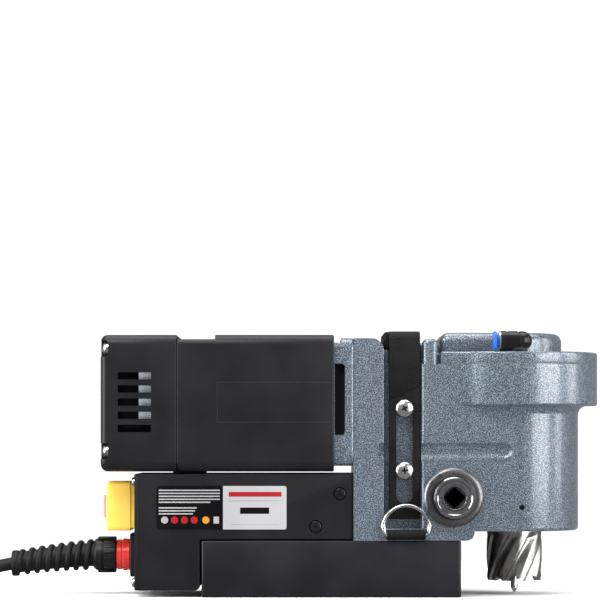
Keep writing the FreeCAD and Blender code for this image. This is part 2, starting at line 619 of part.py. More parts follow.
def quill():
    sleeve = cut(rod("z", ("spindle_x", 0), ("quill_low", "quill_high"), "quill_rad"),
                 rod("z", ("spindle_x", 0), ("quill_low - 1", "quill_high + 1"), "quill_bore"))
    pitch = math.pi * dim("rack_module")
    line = dim("feed_x") + dim("rack_module") * dim("feed_teeth") / 2
    gap_line = pitch / 4 + backlash / 2
    lean = math.tan(pressure)
    outer, inner = 5, 1.25 * dim("rack_module")
    gaps = []
    for n in range(-1, 8):
        z = dim("feed_z") + n * pitch
        points = [Vector(line - outer, -12, z - gap_line - outer * lean),
                  Vector(line + inner, -12, z - gap_line + inner * lean),
                  Vector(line + inner, -12, z + gap_line - inner * lean),
                  Vector(line - outer, -12, z + gap_line + outer * lean)]
        gaps.append(prism(points, Vector(0, 24, 0)))
    label("quill", cut(sleeve, feature("RackGaps", Part.makeCompound(gaps))))

    places = ((56, 66), (106, 116))
    races = [rod("z", ("spindle_x", 0), ends, "quill_bore") for ends in places]
    bores = [rod("z", ("spindle_x", 0), (low - 1, high + 1), "spindle_rad + running_fit")
             for low, high in places]
    label("quill_bearings", cut(fuse(*races), *bores))


def spindle():
    body = fuse(rod("z", ("spindle_x", 0), (44, 117.5), "spindle_rad"),
                feature("SplineShaft", spline(117, 165.3, 0)))
    socket = rod("z", ("spindle_x", 0), (43, "shank_high + 0.6"), "shank_rad + 0.02")
    pin_way = rod("z", ("spindle_x", 0), (60, 112), 4.5)
    threads = [rod("x", (0, 49.5), (x_low, x_high), 3) for x_low, x_high in ((100, 112), (128, 140))]
    label("spindle", cut(body, socket, pin_way, *threads))
    screws = [rod("x", (0, 49.5), ends, 3) for ends in
              (("spindle_x - 16", "spindle_x - 8.6"), ("spindle_x + 8.6", "spindle_x + 16"))]
    sockets = [rod("x", (0, 49.5), ends, 1.5) for ends in
               (("spindle_x - 17", "spindle_x - 13"), ("spindle_x + 13", "spindle_x + 17"))]
    label("grub_screws", cut(fuse(*screws), *sockets))


def cutter():
    body = Part.makeCylinder(dim("cutter_rad"), dim("cutter_high") - dim("cutter_low"),
                             Vector(0, 0, dim("cutter_low")))
    hollow = Part.makeCylinder(13.6, 31, Vector(0, 0, dim("cutter_low") - 1))
    shank = Part.makeCylinder(dim("shank_rad"), 26, Vector(0, 0, dim("shank_high") - 26))
    flats = [Part.makeBox(4, 20, 8, Vector(side * 8.6 - (4 if side < 0 else 0), -10, 45.5))
             for side in (-1, 1)]
    bore = Part.makeCylinder(3.23, 80, Vector(0, 0, 0))
    blank = body.cut(hollow).fuse(shank).cut(flats).cut(bore)
    teeth = []
    for n in range(8):
        notch = prism([Vector(12, -1.5, 8), Vector(12, 5.5, 8), Vector(12, -1.5, 13)], Vector(8, 0, 0))
        notch.rotate(Vector(0, 0, 0), Vector(0, 0, 1), 45 * n)
        flute = twisted_flute(45 * n)
        teeth += [notch, flute]
    cutter_shape = blank.cut(teeth).translated(Vector(dim("spindle_x"), 0, 0))
    label("annular_cutter", feature("AnnularCutter", cutter_shape))
    pin = fuse(rod("z", ("spindle_x", 0), (13, "pilot_high"), "pilot_rad"),
               rod("z", ("spindle_x", 0), (4, 13), 2.25),
               cone("z", ("spindle_x", 0), ("pilot_tip", 4), (0.4, 2.25)))
    label("pilot_pin", pin)
    spring = cut(rod("z", ("spindle_x", 0), ("pilot_high", 112), 4.2),
                 rod("z", ("spindle_x", 0), ("pilot_high - 1", 113), 3.2))
    label("pilot_spring", spring)


def twisted_flute(start):
    # a chip groove that climbs to the right around the cutter, in three straight stretches
    sections = []
    low, high = dim("cutter_low") - 0.5, dim("cutter_high") - 5
    for step in range(4):
        z = low + (high - low) * step / 3
        turn = math.radians(start + 14 * step)
        out, side = Vector(math.cos(turn), math.sin(turn), 0), Vector(-math.sin(turn), math.cos(turn), 0)
        corners = [out * reach + side * half + Vector(0, 0, z)
                   for reach, half in ((16.6, -1.8), (19, -2.6), (19, 2.6), (16.6, 1.8))]
        sections.append(Part.makePolygon(corners + [corners[0]]))
    return Part.makeLoft(sections, True, True)


def feed():
    centre = ("feed_x", "feed_z")
    pinion = spur_gear(int(dim("feed_teeth")), dim("rack_module"), 0, -8, 8)
    pinion.rotate(Vector(0, 0, 0), Vector(1, 0, 0), 90)
    pinion = pinion.translated(Vector(dim("feed_x"), 0, dim("feed_z")))
    label("feed_shaft", fuse(feature("FeedTeeth", pinion), rod("y", centre, (-50, 50), 8)))
    for name, side in (("front", -1), ("rear", 1)):
        inner, outer = side * 46, side * dim("hub_out")
        ends = tuple(sorted((inner, outer)))
        hub = cut(rod("y", centre, ends, "hub_rad"),
                  rod("y", centre, tuple(sorted((side * 45, side * 50))), 8))
        square = doc.addObject("Part::Box", "DriveSquare")
        half = dim("drive_square") / 2
        bind(square, {"Length": "drive_square", "Width": "12", "Height": "drive_square"})
        spot = Vector(dim("feed_x"), side * dim("hub_out") - (0 if side < 0 else 12),
                      dim("feed_z") - half * math.sqrt(2))
        square.Placement = FreeCAD.Placement(spot, Rotation(Vector(0, 1, 0), -45))
        dish = cone("y", centre, (f"{outer} - 0.01", f"{outer} + 1.2"), (7.3, 6.1)) if side < 0 else \
            cone("y", centre, (f"{outer} - 1.2", f"{outer} + 0.01"), (6.1, 7.3))
        label(f"feed_hub_{name}", cut(hub, square, dish))
    rings = [rod("y", centre, ends, "ring_rad") for ends in ((-46.5, -42), (42, 46.5))]
    bushes = [rod("y", centre, ends, 18.45) for ends in ((-42, -12), (12, 42))]
    bores = [rod("y", centre, ends, radius) for ends, radius in
             (((-47, -11), "8 + running_fit"), ((11, 47), "8 + running_fit"),
              ((-47, -45.5), 13.5), ((45.5, 47), 13.5))]
    quill_way = rod("z", ("spindle_x", 0), ("feed_z - 30", "feed_z + 30"), "quill_rad + 0.4")
    label("feed_bushes", cut(fuse(*rings, *bushes), *bores, quill_way))


# handling and coolant

def strap():
    left, right = "strap_x - strap_wide / 2", "strap_x + strap_wide / 2"
    over = block((left, right), ("-strap_y - strap_thick", "strap_y + strap_thick"),
                 ("strap_low", "strap_top"))
    under = block((left + " - 1", right + " + 1"), ("-strap_y", "strap_y"),
                  ("strap_low - 1", "strap_top - strap_thick"))
    hoop = rounded(cut(over, under), "strap_thick",
                   lambda edge: straight(edge, "x") and edge.CenterOfMass.z > 169)
    slots = []
    for side in (-1, 1):
        near, far = sorted((side * 36, side * 42))
        slots.append(block(("strap_x - slot_wide / 2", "strap_x + slot_wide / 2"), (near, far),
                           ("strap_slot_low + slot_wide / 2", "strap_slot_high - slot_wide / 2")))
        slots += [rod("y", ("strap_x", z), (near, far), "slot_wide / 2")
                  for z in ("strap_slot_low + slot_wide / 2", "strap_slot_high - slot_wide / 2")]
    label("carry_strap", cut(hoop, *slots))
    for name, side in (("front", -1), ("rear", 1)):
        screws = []
        for z in (120.6, 80.8):
            head = screw("y", (dim("strap_x"), z), side * 40.8, 6, side * 3.4, 18)
            spacer = Part.makeCylinder(3.8, 6.8, Vector(dim("strap_x"), side * 40.8, z),
                                       Vector(0, -side, 0))
            screws.append(head.fuse(spacer))
        label(f"strap_screws_{name}", feature("StrapScrews", Part.makeCompound(screws)))


def ring_and_loop():
    # the ring stands in front of the channel and swings about the straight bar in its loop
    bar_z, front, wire, middle = 39.8, -45.4, 1.35, dim("strap_x") + 1
    foot_l, foot_r = Vector(middle - 14, front, bar_z), Vector(middle + 14, front, bar_z)
    wide, high = 14.8, 58.5
    side_l, side_r = Vector(middle - wide, front, bar_z + 6), Vector(middle + wide, front, bar_z + 6)
    bow = Part.Wire([Part.makeLine(foot_l, side_l),
                     Part.Arc(side_l, Vector(middle, front, high), side_r).toShape(),
                     Part.makeLine(side_r, foot_r)])
    bar = Part.makeCylinder(wire, foot_r.x - foot_l.x, foot_l, Vector(1, 0, 0))
    elbows = [Part.makeSphere(wire, end) for end in (foot_l, foot_r)]
    label("lifting_ring", feature("LiftingRing", tube(bow, wire).fuse([bar] + elbows)))
    sleeve = rod("x", (front, bar_z), (middle - 12.2, middle + 12.2), 3.2)
    tab = block((middle - 12, middle + 12), (front, -42), (bar_z - 3.2, bar_z + 1))
    hollow = rod("x", (front, bar_z), (middle - 13, middle + 13), f"{wire} + running_fit")
    label("ring_loop", cut(fuse(sleeve, tab), hollow))


def coolant_elbow():
    # a push-in elbow screwed into the gear cover; its port looks back along the machine
    axis_y, axis_z, stem_x = -48, 163.4, 121.5
    port = rod("x", (axis_y, axis_z), (107.3, stem_x), 6.2)
    knee = doc.addObject("Part::Sphere", "Knee")
    bind(knee, {"Radius": 6.3, "Placement.Base.x": stem_x, "Placement.Base.y": axis_y,
                "Placement.Base.z": axis_z})
    stem = rod("z", (stem_x, axis_y), ("plate_z", axis_z), 5)
    bore = rod("x", (axis_y, axis_z), (106, stem_x), 4.1)
    label("coolant_elbow", cut(fuse(port, knee, stem), bore))
    sleeve = fuse(rod("x", (axis_y, axis_z), (103, 105.6), 5.9),
                  rod("x", (axis_y, axis_z), (105.6, 112), 4.05))
    label("release_ring", cut(sleeve, rod("x", (axis_y, axis_z), (102, 113), 3.05)))


magnet()
control_box()
switch()
power_inlet()
supply_cord()
motor()
gears()
gear_housing()
gear_cover()
quill()
spindle()
cutter()
feed()
strap()
ring_and_loop()
coolant_elbow()
doc.recompute()

problems = [item.Label for item in doc.Objects if {"Invalid", "Error"} & set(item.State)]
for name, piece in nodes.items():
    if piece.Shape.isNull() or not piece.Shape.isValid():
        problems.append(name)
if problems:
    raise SystemExit("not built: " + ", ".join(problems))

os.makedirs("parts", exist_ok=True)
for name, piece in nodes.items():
    piece.Shape.exportStep(f"parts/{name}.step")
print(len(nodes), "nodes")
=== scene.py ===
import math

import bmesh
import bpy
from mathutils import Matrix, Vector


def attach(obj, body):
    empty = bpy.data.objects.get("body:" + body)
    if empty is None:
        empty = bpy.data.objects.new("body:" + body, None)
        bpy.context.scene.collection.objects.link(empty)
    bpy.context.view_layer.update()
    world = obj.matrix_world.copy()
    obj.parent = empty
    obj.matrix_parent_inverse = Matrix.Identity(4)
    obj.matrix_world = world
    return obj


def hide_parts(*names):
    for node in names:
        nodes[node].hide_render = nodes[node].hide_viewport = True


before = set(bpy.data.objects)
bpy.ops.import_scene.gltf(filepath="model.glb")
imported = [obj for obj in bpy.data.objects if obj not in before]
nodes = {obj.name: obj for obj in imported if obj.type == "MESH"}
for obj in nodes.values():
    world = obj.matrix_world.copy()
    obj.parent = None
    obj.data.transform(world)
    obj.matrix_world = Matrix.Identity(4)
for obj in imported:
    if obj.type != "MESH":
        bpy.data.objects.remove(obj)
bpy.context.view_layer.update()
print("frame loaded:", len(nodes), "nodes")


def dropPick():
    if bpy.context.object and bpy.context.object.mode != "OBJECT":
        bpy.ops.object.mode_set(mode="OBJECT")
    bpy.ops.object.select_all(action="DESELECT")


def pick(obj):
    dropPick()
    obj.select_set(True)
    bpy.context.view_layer.objects.active = obj
    return obj


def bakePlace(obj):
    pick(obj)
    bpy.ops.object.transform_apply(location=True, rotation=True, scale=True)
    return obj


def pickParts(obj, mode, test):
    # edit mode with only the wanted vertices, edges or faces selected
    pick(obj)
    bpy.ops.object.mode_set(mode="EDIT")
    bpy.ops.mesh.select_mode(type=mode)
    bpy.ops.mesh.select_all(action="DESELECT")
    mesh = bmesh.from_edit_mesh(obj.data)
    parts = {"VERT": mesh.verts, "EDGE": mesh.edges, "FACE": mesh.faces}[mode]
    found = 0
    for part in parts:
        if test(part):
            part.select_set(True)
            found += 1
    bmesh.update_edit_mesh(obj.data)
    return found


def leaveEdit():
    bpy.ops.object.mode_set(mode="OBJECT")


def edgeMiddle(edge):
    return (edge.verts[0].co + edge.verts[1].co) / 2


def edgeRuns(edge, axis):
    way = (edge.verts[1].co - edge.verts[0].co).normalized()
    return abs(way["xyz".index(axis)]) > 0.99


def roundEdges(obj, width, segments, test):
    if pickParts(obj, "EDGE", test):
        bpy.ops.mesh.bevel(offset=width, segments=segments, affect="EDGES", clamp_overlap=True)
    leaveEdit()
    return obj


def everyEdge(edge):
    return True


def addBlock(name, low, high, edge=0.0, segments=3, test=everyEdge):
    middle = (Vector(low) + Vector(high)) / 2
    dropPick()
    bpy.ops.mesh.primitive_cube_add(size=1, location=middle)
    block = bpy.context.object
    block.name = name
    block.scale = Vector(high) - Vector(low)
    bakePlace(block)
    if edge:
        roundEdges(block, edge, segments, test)
    return block


def turnTo(axis):
    return {"x": (0, math.pi / 2, 0), "y": (math.pi / 2, 0, 0), "z": (0, 0, 0)}[axis]


def addRod(name, start, axis, length, radius, sides=64, edge=0.0, segments=2):
    # a cylinder that begins at start and runs along +axis by length (which may be negative)
    way = Vector((axis == "x", axis == "y", axis == "z")) * length
    dropPick()
    bpy.ops.mesh.primitive_cylinder_add(vertices=sides, radius=radius, depth=abs(length),
                                        location=Vector(start) + way / 2, rotation=turnTo(axis))
    rod = bpy.context.object
    rod.name = name
    bakePlace(rod)
    if edge:
        index = "xyz".index(axis)

        def onRim(e):
            return abs((e.verts[0].co - e.verts[1].co)[index]) < 1e-6

        roundEdges(rod, edge, segments, onRim)
    return rod


def addTurned(name, centre, axis, outline, steps=96):
    # spins a closed or open outline of (radius, height) points about an axis through centre
    way = Vector((axis == "x", axis == "y", axis == "z"))
    side = Vector((0, 0, 1)) if axis != "z" else Vector((1, 0, 0))
    centre = Vector(centre)
    places = [centre + way * height + side * radius for radius, height in outline]
    dropPick()
    bpy.ops.mesh.primitive_plane_add(size=0.001, location=places[0])
    turned = bpy.context.object
    turned.name = name
    bakePlace(turned)
    bpy.ops.object.mode_set(mode="EDIT")
    bpy.ops.mesh.select_mode(type="VERT")
    bpy.ops.mesh.select_all(action="SELECT")
    bpy.ops.mesh.merge(type="CENTER")
    for here, there in zip(places, places[1:]):
        bpy.ops.mesh.extrude_region_move(TRANSFORM_OT_translate={"value": there - here})
    bpy.ops.mesh.select_all(action="SELECT")
    bpy.ops.mesh.spin(steps=steps, angle=2 * math.pi, center=centre, axis=way)
    bpy.ops.mesh.select_all(action="SELECT")
    bpy.ops.mesh.remove_doubles(threshold=1e-5)
    bpy.ops.mesh.normals_make_consistent(inside=False)
    leaveEdit()
    return turned


def addPrism(name, outline, axis, low, high):
    # a flat outline, drawn in the other two axes in x, y, z order, extruded from low to high
    spot = "xyz".index(axis)
    dropPick()
    bpy.ops.mesh.primitive_circle_add(vertices=len(outline), radius=0.01, fill_type="NGON")
    prism = bpy.context.object
    prism.name = name
    for vertex, flat in zip(prism.data.vertices, outline):
        place = list(flat)
        place.insert(spot, low)
        vertex.co = place
    bpy.ops.object.mode_set(mode="EDIT")
    bpy.ops.mesh.select_mode(type="FACE")
    bpy.ops.mesh.select_all(action="SELECT")
    way = [0, 0, 0]
    way[spot] = high - low
    bpy.ops.mesh.extrude_region_move(TRANSFORM_OT_translate={"value": way})
    bpy.ops.mesh.select_all(action="SELECT")
    bpy.ops.mesh.normals_make_consistent(inside=False)
    leaveEdit()
    return prism


def arc(centre, radius, startTurn, endTurn, count):
    # points on a round corner, angles in degrees
    turns = [math.radians(startTurn + (endTurn - startTurn) * n / (count - 1)) for n in range(count)]
    return [(centre[0] + radius * math.cos(t), centre[1] + radius * math.sin(t)) for t in turns]


def combine(kind, base, *tools):
    # kind is UNION, DIFFERENCE or INTERSECT; the tools are used up
    for tool in tools:
        pick(base)
        change = base.modifiers.new("combine", "BOOLEAN")
        change.operation, change.solver, change.object = kind, "EXACT", tool
        bpy.ops.object.modifier_apply(modifier=change.name)
        bpy.data.objects.remove(tool, do_unlink=True)
    return base


def joinAll(name, pieces):
    dropPick()
    for piece in pieces:
        piece.select_set(True)
    bpy.context.view_layer.objects.active = pieces[0]
    if len(pieces) > 1:
        bpy.ops.object.join()
    joined = bpy.context.object
    joined.name = name
    return joined


def smooth(obj, angle=35):
    pick(obj)
    bpy.ops.object.shade_smooth_by_angle(angle=math.radians(angle))
    return obj


def paint(obj, finish):
    obj.data.materials.append(look[finish])
    return obj


def spanAt(side, near, far):
    # the low and high Y of something that lies between two distances from the middle
    return sorted((side * near, side * far))


def addWire(name, places, radius, rounding, closed=False):
    # a bent wire through the places, made a mesh
    curve = bpy.data.curves.new(name, "CURVE")
    curve.dimensions = "3D"
    curve.bevel_depth = radius
    curve.bevel_resolution = rounding
    curve.use_fill_caps = not closed
    spline = curve.splines.new("POLY")
    spline.points.add(len(places) - 1)
    for point, place in zip(spline.points, places):
        point.co = (*place, 1)
    spline.use_cyclic_u = closed
    wire = bpy.data.objects.new(name, curve)
    bpy.context.scene.collection.objects.link(wire)
    pick(wire)
    bpy.ops.object.convert(target="MESH")
    return bpy.context.object


def addRibs(low, high, edge, centre, turns):
    # the same small rib at several turns about an axis along X
    ribs = []
    for turn in turns:
        rib = addBlock("rib", low, high, edge, 2)
        rib.data.transform(Matrix.Translation(centre) @ Matrix.Rotation(turn, 4, "X"))
        ribs.append(rib)
    return ribs


def finishPiece(obj, material, body, replaced=(), angle=35):
    smooth(obj, angle)
    if material:
        obj.data.materials.clear()
        obj.data.materials.append(material)
    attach(obj, body)
    if replaced:
        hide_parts(*replaced)
    return obj


view = {"place": (-0.020, -1.800, 0.1004), "lens": 165.2, "shiftUp": 0.2333}


def addCamera():
    data = bpy.data.cameras.new("viewCamera")
    data.lens, data.sensor_width, data.shift_y = view["lens"], 36, view["shiftUp"]
    data.clip_end = 20
    camera = bpy.data.objects.new("viewCamera", data)
    camera.location = view["place"]
    camera.rotation_euler = (math.pi / 2, 0, 0)
    bpy.context.scene.collection.objects.link(camera)
    bpy.context.scene.camera = camera


studio = {
    "key": {"place": (-0.6, -1.25, 1.6), "size": (1.1, 0.8), "power": 40},
    "top": {"place": (0.05, 0.1, 1.5), "size": (1.6, 1.0), "power": 26},
    "right": {"place": (1.16, -1.08, 0.35), "size": (0.90, 1.2), "power": 30},
    "side": {"place": (1.45, -0.22, 0.40), "size": (0.40, 1.1), "power": 9},
    "left": {"place": (-1.23, -0.38, 0.40), "size": (0.80, 1.1), "power": 26},
}


def addLights():
    for name, facts in studio.items():
        data = bpy.data.lights.new(name + "Light", "AREA")
        data.shape, data.size, data.size_y = "RECTANGLE", *facts["size"]
        data.energy = facts["power"]
        lamp = bpy.data.objects.new(name + "Light", data)
        lamp.location = facts["place"]
        aim = Vector((0.02, 0, 0.08)) - lamp.location
        lamp.rotation_euler = aim.to_track_quat("-Z", "Y").to_euler()
        bpy.context.scene.collection.objects.link(lamp)
    world = bpy.data.worlds.new("studioWorld")
    world.use_nodes = True
    # white to the camera, a dim room to everything the machine mirrors
    tree = world.node_tree
    room = tree.nodes["Background"]
    room.inputs["Color"].default_value = (1, 1, 1, 1)
    room.inputs["Strength"].default_value = 0.30
    backdrop = tree.nodes.new("ShaderNodeBackground")
    backdrop.inputs["Color"].default_value = (1, 1, 1, 1)
    backdrop.inputs["Strength"].default_value = 1.05
    ray = tree.nodes.new("ShaderNodeLightPath")
    choice = tree.nodes.new("ShaderNodeMixShader")
    tree.links.new(ray.outputs["Is Camera Ray"], choice.inputs["Fac"])
    tree.links.new(room.outputs["Background"], choice.inputs[1])
    tree.links.new(backdrop.outputs["Background"], choice.inputs[2])
    tree.links.new(choice.outputs["Shader"], tree.nodes["World Output"].inputs["Surface"])
    bpy.context.scene.world = world
    bpy.context.scene.view_settings.view_transform = "Standard"


def addFloor():
    dropPick()
    bpy.ops.mesh.primitive_plane_add(size=1, location=(0, -0.9, -0.0003))
    floor = bpy.context.object
    floor.name = "studioFloor"
    floor.scale = (9, 2.8, 1)
    bakePlace(floor)
    floor.visible_glossy = False
    floor.data.materials.append(paleFloor())


def newMaterial(name):
    material = bpy.data.materials.new(name)
    material.use_nodes = True
    tree = material.node_tree
    shader = tree.nodes["Principled BSDF"]
    return material, tree, shader


def surfacePlace(tree, scale=(1, 1, 1), turn=(0, 0, 0), move=(0, 0, 0)):
    place = tree.nodes.new("ShaderNodeTexCoord")
    mapping = tree.nodes.new("ShaderNodeMapping")
    mapping.inputs["Scale"].default_value = scale
    mapping.inputs["Rotation"].default_value = turn
    mapping.inputs["Location"].default_value = move
    tree.links.new(place.outputs["Object"], mapping.inputs["Vector"])
    return mapping.outputs["Vector"]


def noiseOf(tree, vector, scale, detail=2.0, roughness=0.5):
    noise = tree.nodes.new("ShaderNodeTexNoise")
    noise.inputs["Scale"].default_value = scale
    noise.inputs["Detail"].default_value = detail
    noise.inputs["Roughness"].default_value = roughness
    tree.links.new(vector, noise.inputs["Vector"])
    return noise.outputs["Fac"]


def cellsOf(tree, vector, scale, feature="F1", spread=1.0):
    cells = tree.nodes.new("ShaderNodeTexVoronoi")
    cells.feature = feature
    cells.inputs["Scale"].default_value = scale
    cells.inputs["Randomness"].default_value = spread
    tree.links.new(vector, cells.inputs["Vector"])
    return cells.outputs["Distance"]


def rampOf(tree, source, stops):
    ramp = tree.nodes.new("ShaderNodeValToRGB")
    while len(ramp.color_ramp.elements) < len(stops):
        ramp.color_ramp.elements.new(0.5)
    for element, (place, colour) in zip(ramp.color_ramp.elements, stops):
        element.position = place
        element.color = (*colour, 1) if len(colour) == 3 else colour
    tree.links.new(source, ramp.inputs["Fac"])
    return ramp.outputs["Color"]


def spanOf(tree, source, low, high):
    span = tree.nodes.new("ShaderNodeMapRange")
    span.inputs["To Min"].default_value = low
    span.inputs["To Max"].default_value = high
    tree.links.new(source, span.inputs["Value"])
    return span.outputs["Result"]


def bumpOf(tree, height, strength, distance):
    bump = tree.nodes.new("ShaderNodeBump")
    bump.inputs["Strength"].default_value = strength
    bump.inputs["Distance"].default_value = distance
    tree.links.new(height, bump.inputs["Height"])
    return bump.outputs["Normal"]


def setSurface(shader, **values):
    for name, value in values.items():
        shader.inputs[name.replace("_", " ")].default_value = value


def paleFloor():
    material, tree, shader = newMaterial("paleFloor")
    grain = noiseOf(tree, surfacePlace(tree), 3.0)
    tree.links.new(rampOf(tree, grain, ((0.3, (0.92, 0.92, 0.92)), (0.7, (0.95, 0.95, 0.95)))),
                   shader.inputs["Base Color"])
    setSurface(shader, Roughness=0.8)
    return material


def plastic(name, dark, light, rough=(0.42, 0.56), grain=2600, gleam=0.22, depth=0.00006):
    # moulded plastic: a fine spark-eroded grain with a slow change of tone
    material, tree, shader = newMaterial(name)
    place = surfacePlace(tree)
    cloud = noiseOf(tree, place, 40, 3)
    fine = noiseOf(tree, place, grain, 2)
    tree.links.new(rampOf(tree, cloud, ((0.3, dark), (0.7, light))), shader.inputs["Base Color"])
    tree.links.new(spanOf(tree, cloud, *rough), shader.inputs["Roughness"])
    tree.links.new(bumpOf(tree, fine, 0.35, depth), shader.inputs["Normal"])
    setSurface(shader, Specular_IOR_Level=gleam)
    return material


def steel(name, dark, light, rough, stretch=(1, 1, 1), grain=900, metal=1.0, depth=0.00004):
    # turned or ground metal: the grain is stretched along one direction
    material, tree, shader = newMaterial(name)
    place = surfacePlace(tree, stretch)
    lines = noiseOf(tree, place, grain, 3, 0.6)
    cloud = noiseOf(tree, surfacePlace(tree), 60, 2)
    tree.links.new(rampOf(tree, lines, ((0.3, dark), (0.7, light))), shader.inputs["Base Color"])
    tree.links.new(spanOf(tree, cloud, *rough), shader.inputs["Roughness"])
    tree.links.new(bumpOf(tree, lines, 0.3, depth), shader.inputs["Normal"])
    setSurface(shader, Metallic=metal)
    return material


def hammeredPaint():
    # blue-grey stoving paint that dries in small shiny dimples with darker rims
    material, tree, shader = newMaterial("hammeredPaint")
    place = surfacePlace(tree)
    cells = cellsOf(tree, place, 1750, "SMOOTH_F1")
    fine = noiseOf(tree, place, 2600, 3, 0.6)
    mix = tree.nodes.new("ShaderNodeMath")
    mix.operation = "MULTIPLY_ADD"
    mix.inputs[1].default_value = 0.55
    tree.links.new(fine, mix.inputs[0])
    tree.links.new(cells, mix.inputs[2])
    speckle = mix.outputs["Value"]
    colour = rampOf(tree, speckle, ((0.33, (0.39, 0.435, 0.49)), (0.55, (0.140, 0.175, 0.215)),
                                    (0.78, (0.026, 0.037, 0.052))))
    tree.links.new(colour, shader.inputs["Base Color"])
    tree.links.new(spanOf(tree, fine, 0.28, 0.42), shader.inputs["Roughness"])
    tree.links.new(bumpOf(tree, speckle, 0.35, 0.0002), shader.inputs["Normal"])
    setSurface(shader, Metallic=0.35, Coat_Weight=0.6, Coat_Roughness=0.16)
    return material


def strapHide():
    # black pressed strap: small pyramids under a worn sheen
    material, tree, shader = newMaterial("strapHide")
    place = surfacePlace(tree)
    cells = cellsOf(tree, place, 850, "F1", 0.65)
    wear = noiseOf(tree, place, 70, 3)
    tree.links.new(rampOf(tree, wear, ((0.3, (0.0022, 0.0022, 0.0024)), (0.75, (0.0055, 0.0055, 0.006)))),
                   shader.inputs["Base Color"])
    tree.links.new(spanOf(tree, wear, 0.45, 0.7), shader.inputs["Roughness"])
    tree.links.new(bumpOf(tree, cells, 0.6, 0.0004), shader.inputs["Normal"])
    setSurface(shader, Specular_IOR_Level=0.12)
    return material


def clearGuard():
    material, tree, shader = newMaterial("clearGuard")
    film = noiseOf(tree, surfacePlace(tree), 90, 3)
    tree.links.new(spanOf(tree, film, 0.04, 0.16), shader.inputs["Roughness"])
    setSurface(shader, Base_Color=(0.90, 0.92, 0.93, 1), Alpha=0.13, IOR=1.47)
    return material


look = {
    "hammered": hammeredPaint(),
    "powder": plastic("blackPowder", (0.004, 0.004, 0.005), (0.007, 0.007, 0.009), (0.36, 0.46), 2200),
    "magnet": plastic("magnetPaint", (0.0045, 0.0045, 0.006), (0.008, 0.008, 0.011), (0.38, 0.5), 900),
    "black": plastic("blackPlastic", (0.004, 0.004, 0.005), (0.007, 0.007, 0.008), (0.36, 0.46), 1900),
    "rubber": plastic("blackRubber", (0.003, 0.003, 0.0032), (0.007, 0.007, 0.0075), (0.46, 0.62), 1500,
                      0.18),
    "yellow": plastic("yellowPlastic", (0.66, 0.415, 0.055), (0.72, 0.47, 0.075), (0.40, 0.50), 1800, 0.35),
    "redInk": plastic("redInk", (0.19, 0.003, 0.006), (0.23, 0.005, 0.008), (0.4, 0.5), 1500, 0.2),
    "red": plastic("redPlastic", (0.42, 0.010, 0.010), (0.52, 0.02, 0.016), (0.26, 0.36), 1600, 0.5),
    "green": plastic("greenPlastic", (0.02, 0.22, 0.05), (0.04, 0.30, 0.08), (0.25, 0.38), 1600),
    "blue": plastic("bluePlastic", (0.01, 0.08, 0.42), (0.02, 0.13, 0.55), (0.25, 0.36), 1600),
    "board": plastic("boardLacquer", (0.01, 0.09, 0.03), (0.02, 0.14, 0.05), (0.3, 0.4), 700),
    "white": plastic("whiteFilm", (0.235, 0.235, 0.243), (0.265, 0.265, 0.273), (0.40, 0.50), 1500, 0.3),
    "greyInk": plastic("greyInk", (0.16, 0.16, 0.16), (0.22, 0.22, 0.22), (0.4, 0.5), 1500, 0.4),
    "darkInk": plastic("darkInk", (0.0015, 0.0015, 0.002), (0.0025, 0.0025, 0.003), (0.5, 0.6), 1500, 0.06),
    "amber": plastic("amberInk", (0.36, 0.14, 0.006), (0.40, 0.17, 0.01), (0.3, 0.4), 1500, 0.3),
    # painted highlight: a black lighter than the barrel, for the light caught by the rating plate's raised
    # outline
    "edge": plastic("plateEdgeHighlight", (0.016, 0.016, 0.018), (0.022, 0.022, 0.025), (0.3, 0.4), 1900),
    # painted shade: a near-black sheet put in recesses and slots where only shade falls
    "paintedShade": plastic("deepShade", (0.0006, 0.0006, 0.0007), (0.0010, 0.0010, 0.0011), (0.7, 0.8), 900),
    "gun": steel("gunMetal", (0.26, 0.26, 0.27), (0.38, 0.38, 0.395), (0.10, 0.22), grain=400),
    "ground": steel("groundSteel", (0.10, 0.10, 0.103), (0.20, 0.20, 0.205), (0.30, 0.44), grain=700),
    "flute": steel("fluteSteel", (0.20, 0.19, 0.18), (0.42, 0.41, 0.40), (0.24, 0.38), (1, 1, 0.3), 500),
    "gloss": plastic("glossPlastic", (0.005, 0.005, 0.006), (0.009, 0.009, 0.010), (0.16, 0.26), 1900),
    "paleBar": plastic("paleInk", (0.20, 0.20, 0.20), (0.26, 0.26, 0.26), (0.4, 0.5), 1500, 0.4),
    "chrome": steel("chromePlate", (0.50, 0.49, 0.475), (0.62, 0.61, 0.595), (0.18, 0.28), grain=300),
    "steel": steel("turnedSteel", (0.36, 0.36, 0.37), (0.56, 0.56, 0.57), (0.22, 0.36), (0.15, 0.15, 1.6)),
    "dark": steel("blackedSteel", (0.05, 0.05, 0.055), (0.12, 0.12, 0.125), (0.24, 0.4)),
    "iron": steel("stackedIron", (0.14, 0.13, 0.13), (0.24, 0.23, 0.23), (0.4, 0.6), (2.4, 0.2, 0.2)),
    "copper": steel("copper", (0.36, 0.14, 0.06), (0.55, 0.25, 0.12), (0.25, 0.45)),
    # painted light: a pale sheet that stands for the light seen through the motor's air slots
    "throughLight": plastic("paintedThroughLight", (0.60, 0.65, 0.72), (0.70, 0.74, 0.80), (0.5, 0.6), 900, 0.3),
    "gasket": plastic("gasketPaper", (0.10, 0.085, 0.05), (0.15, 0.125, 0.08), (0.6, 0.7), 900, 0.2),
    "strap": strapHide(),
    "clear": clearGuard(),
}
print("materials ready:", len(look))


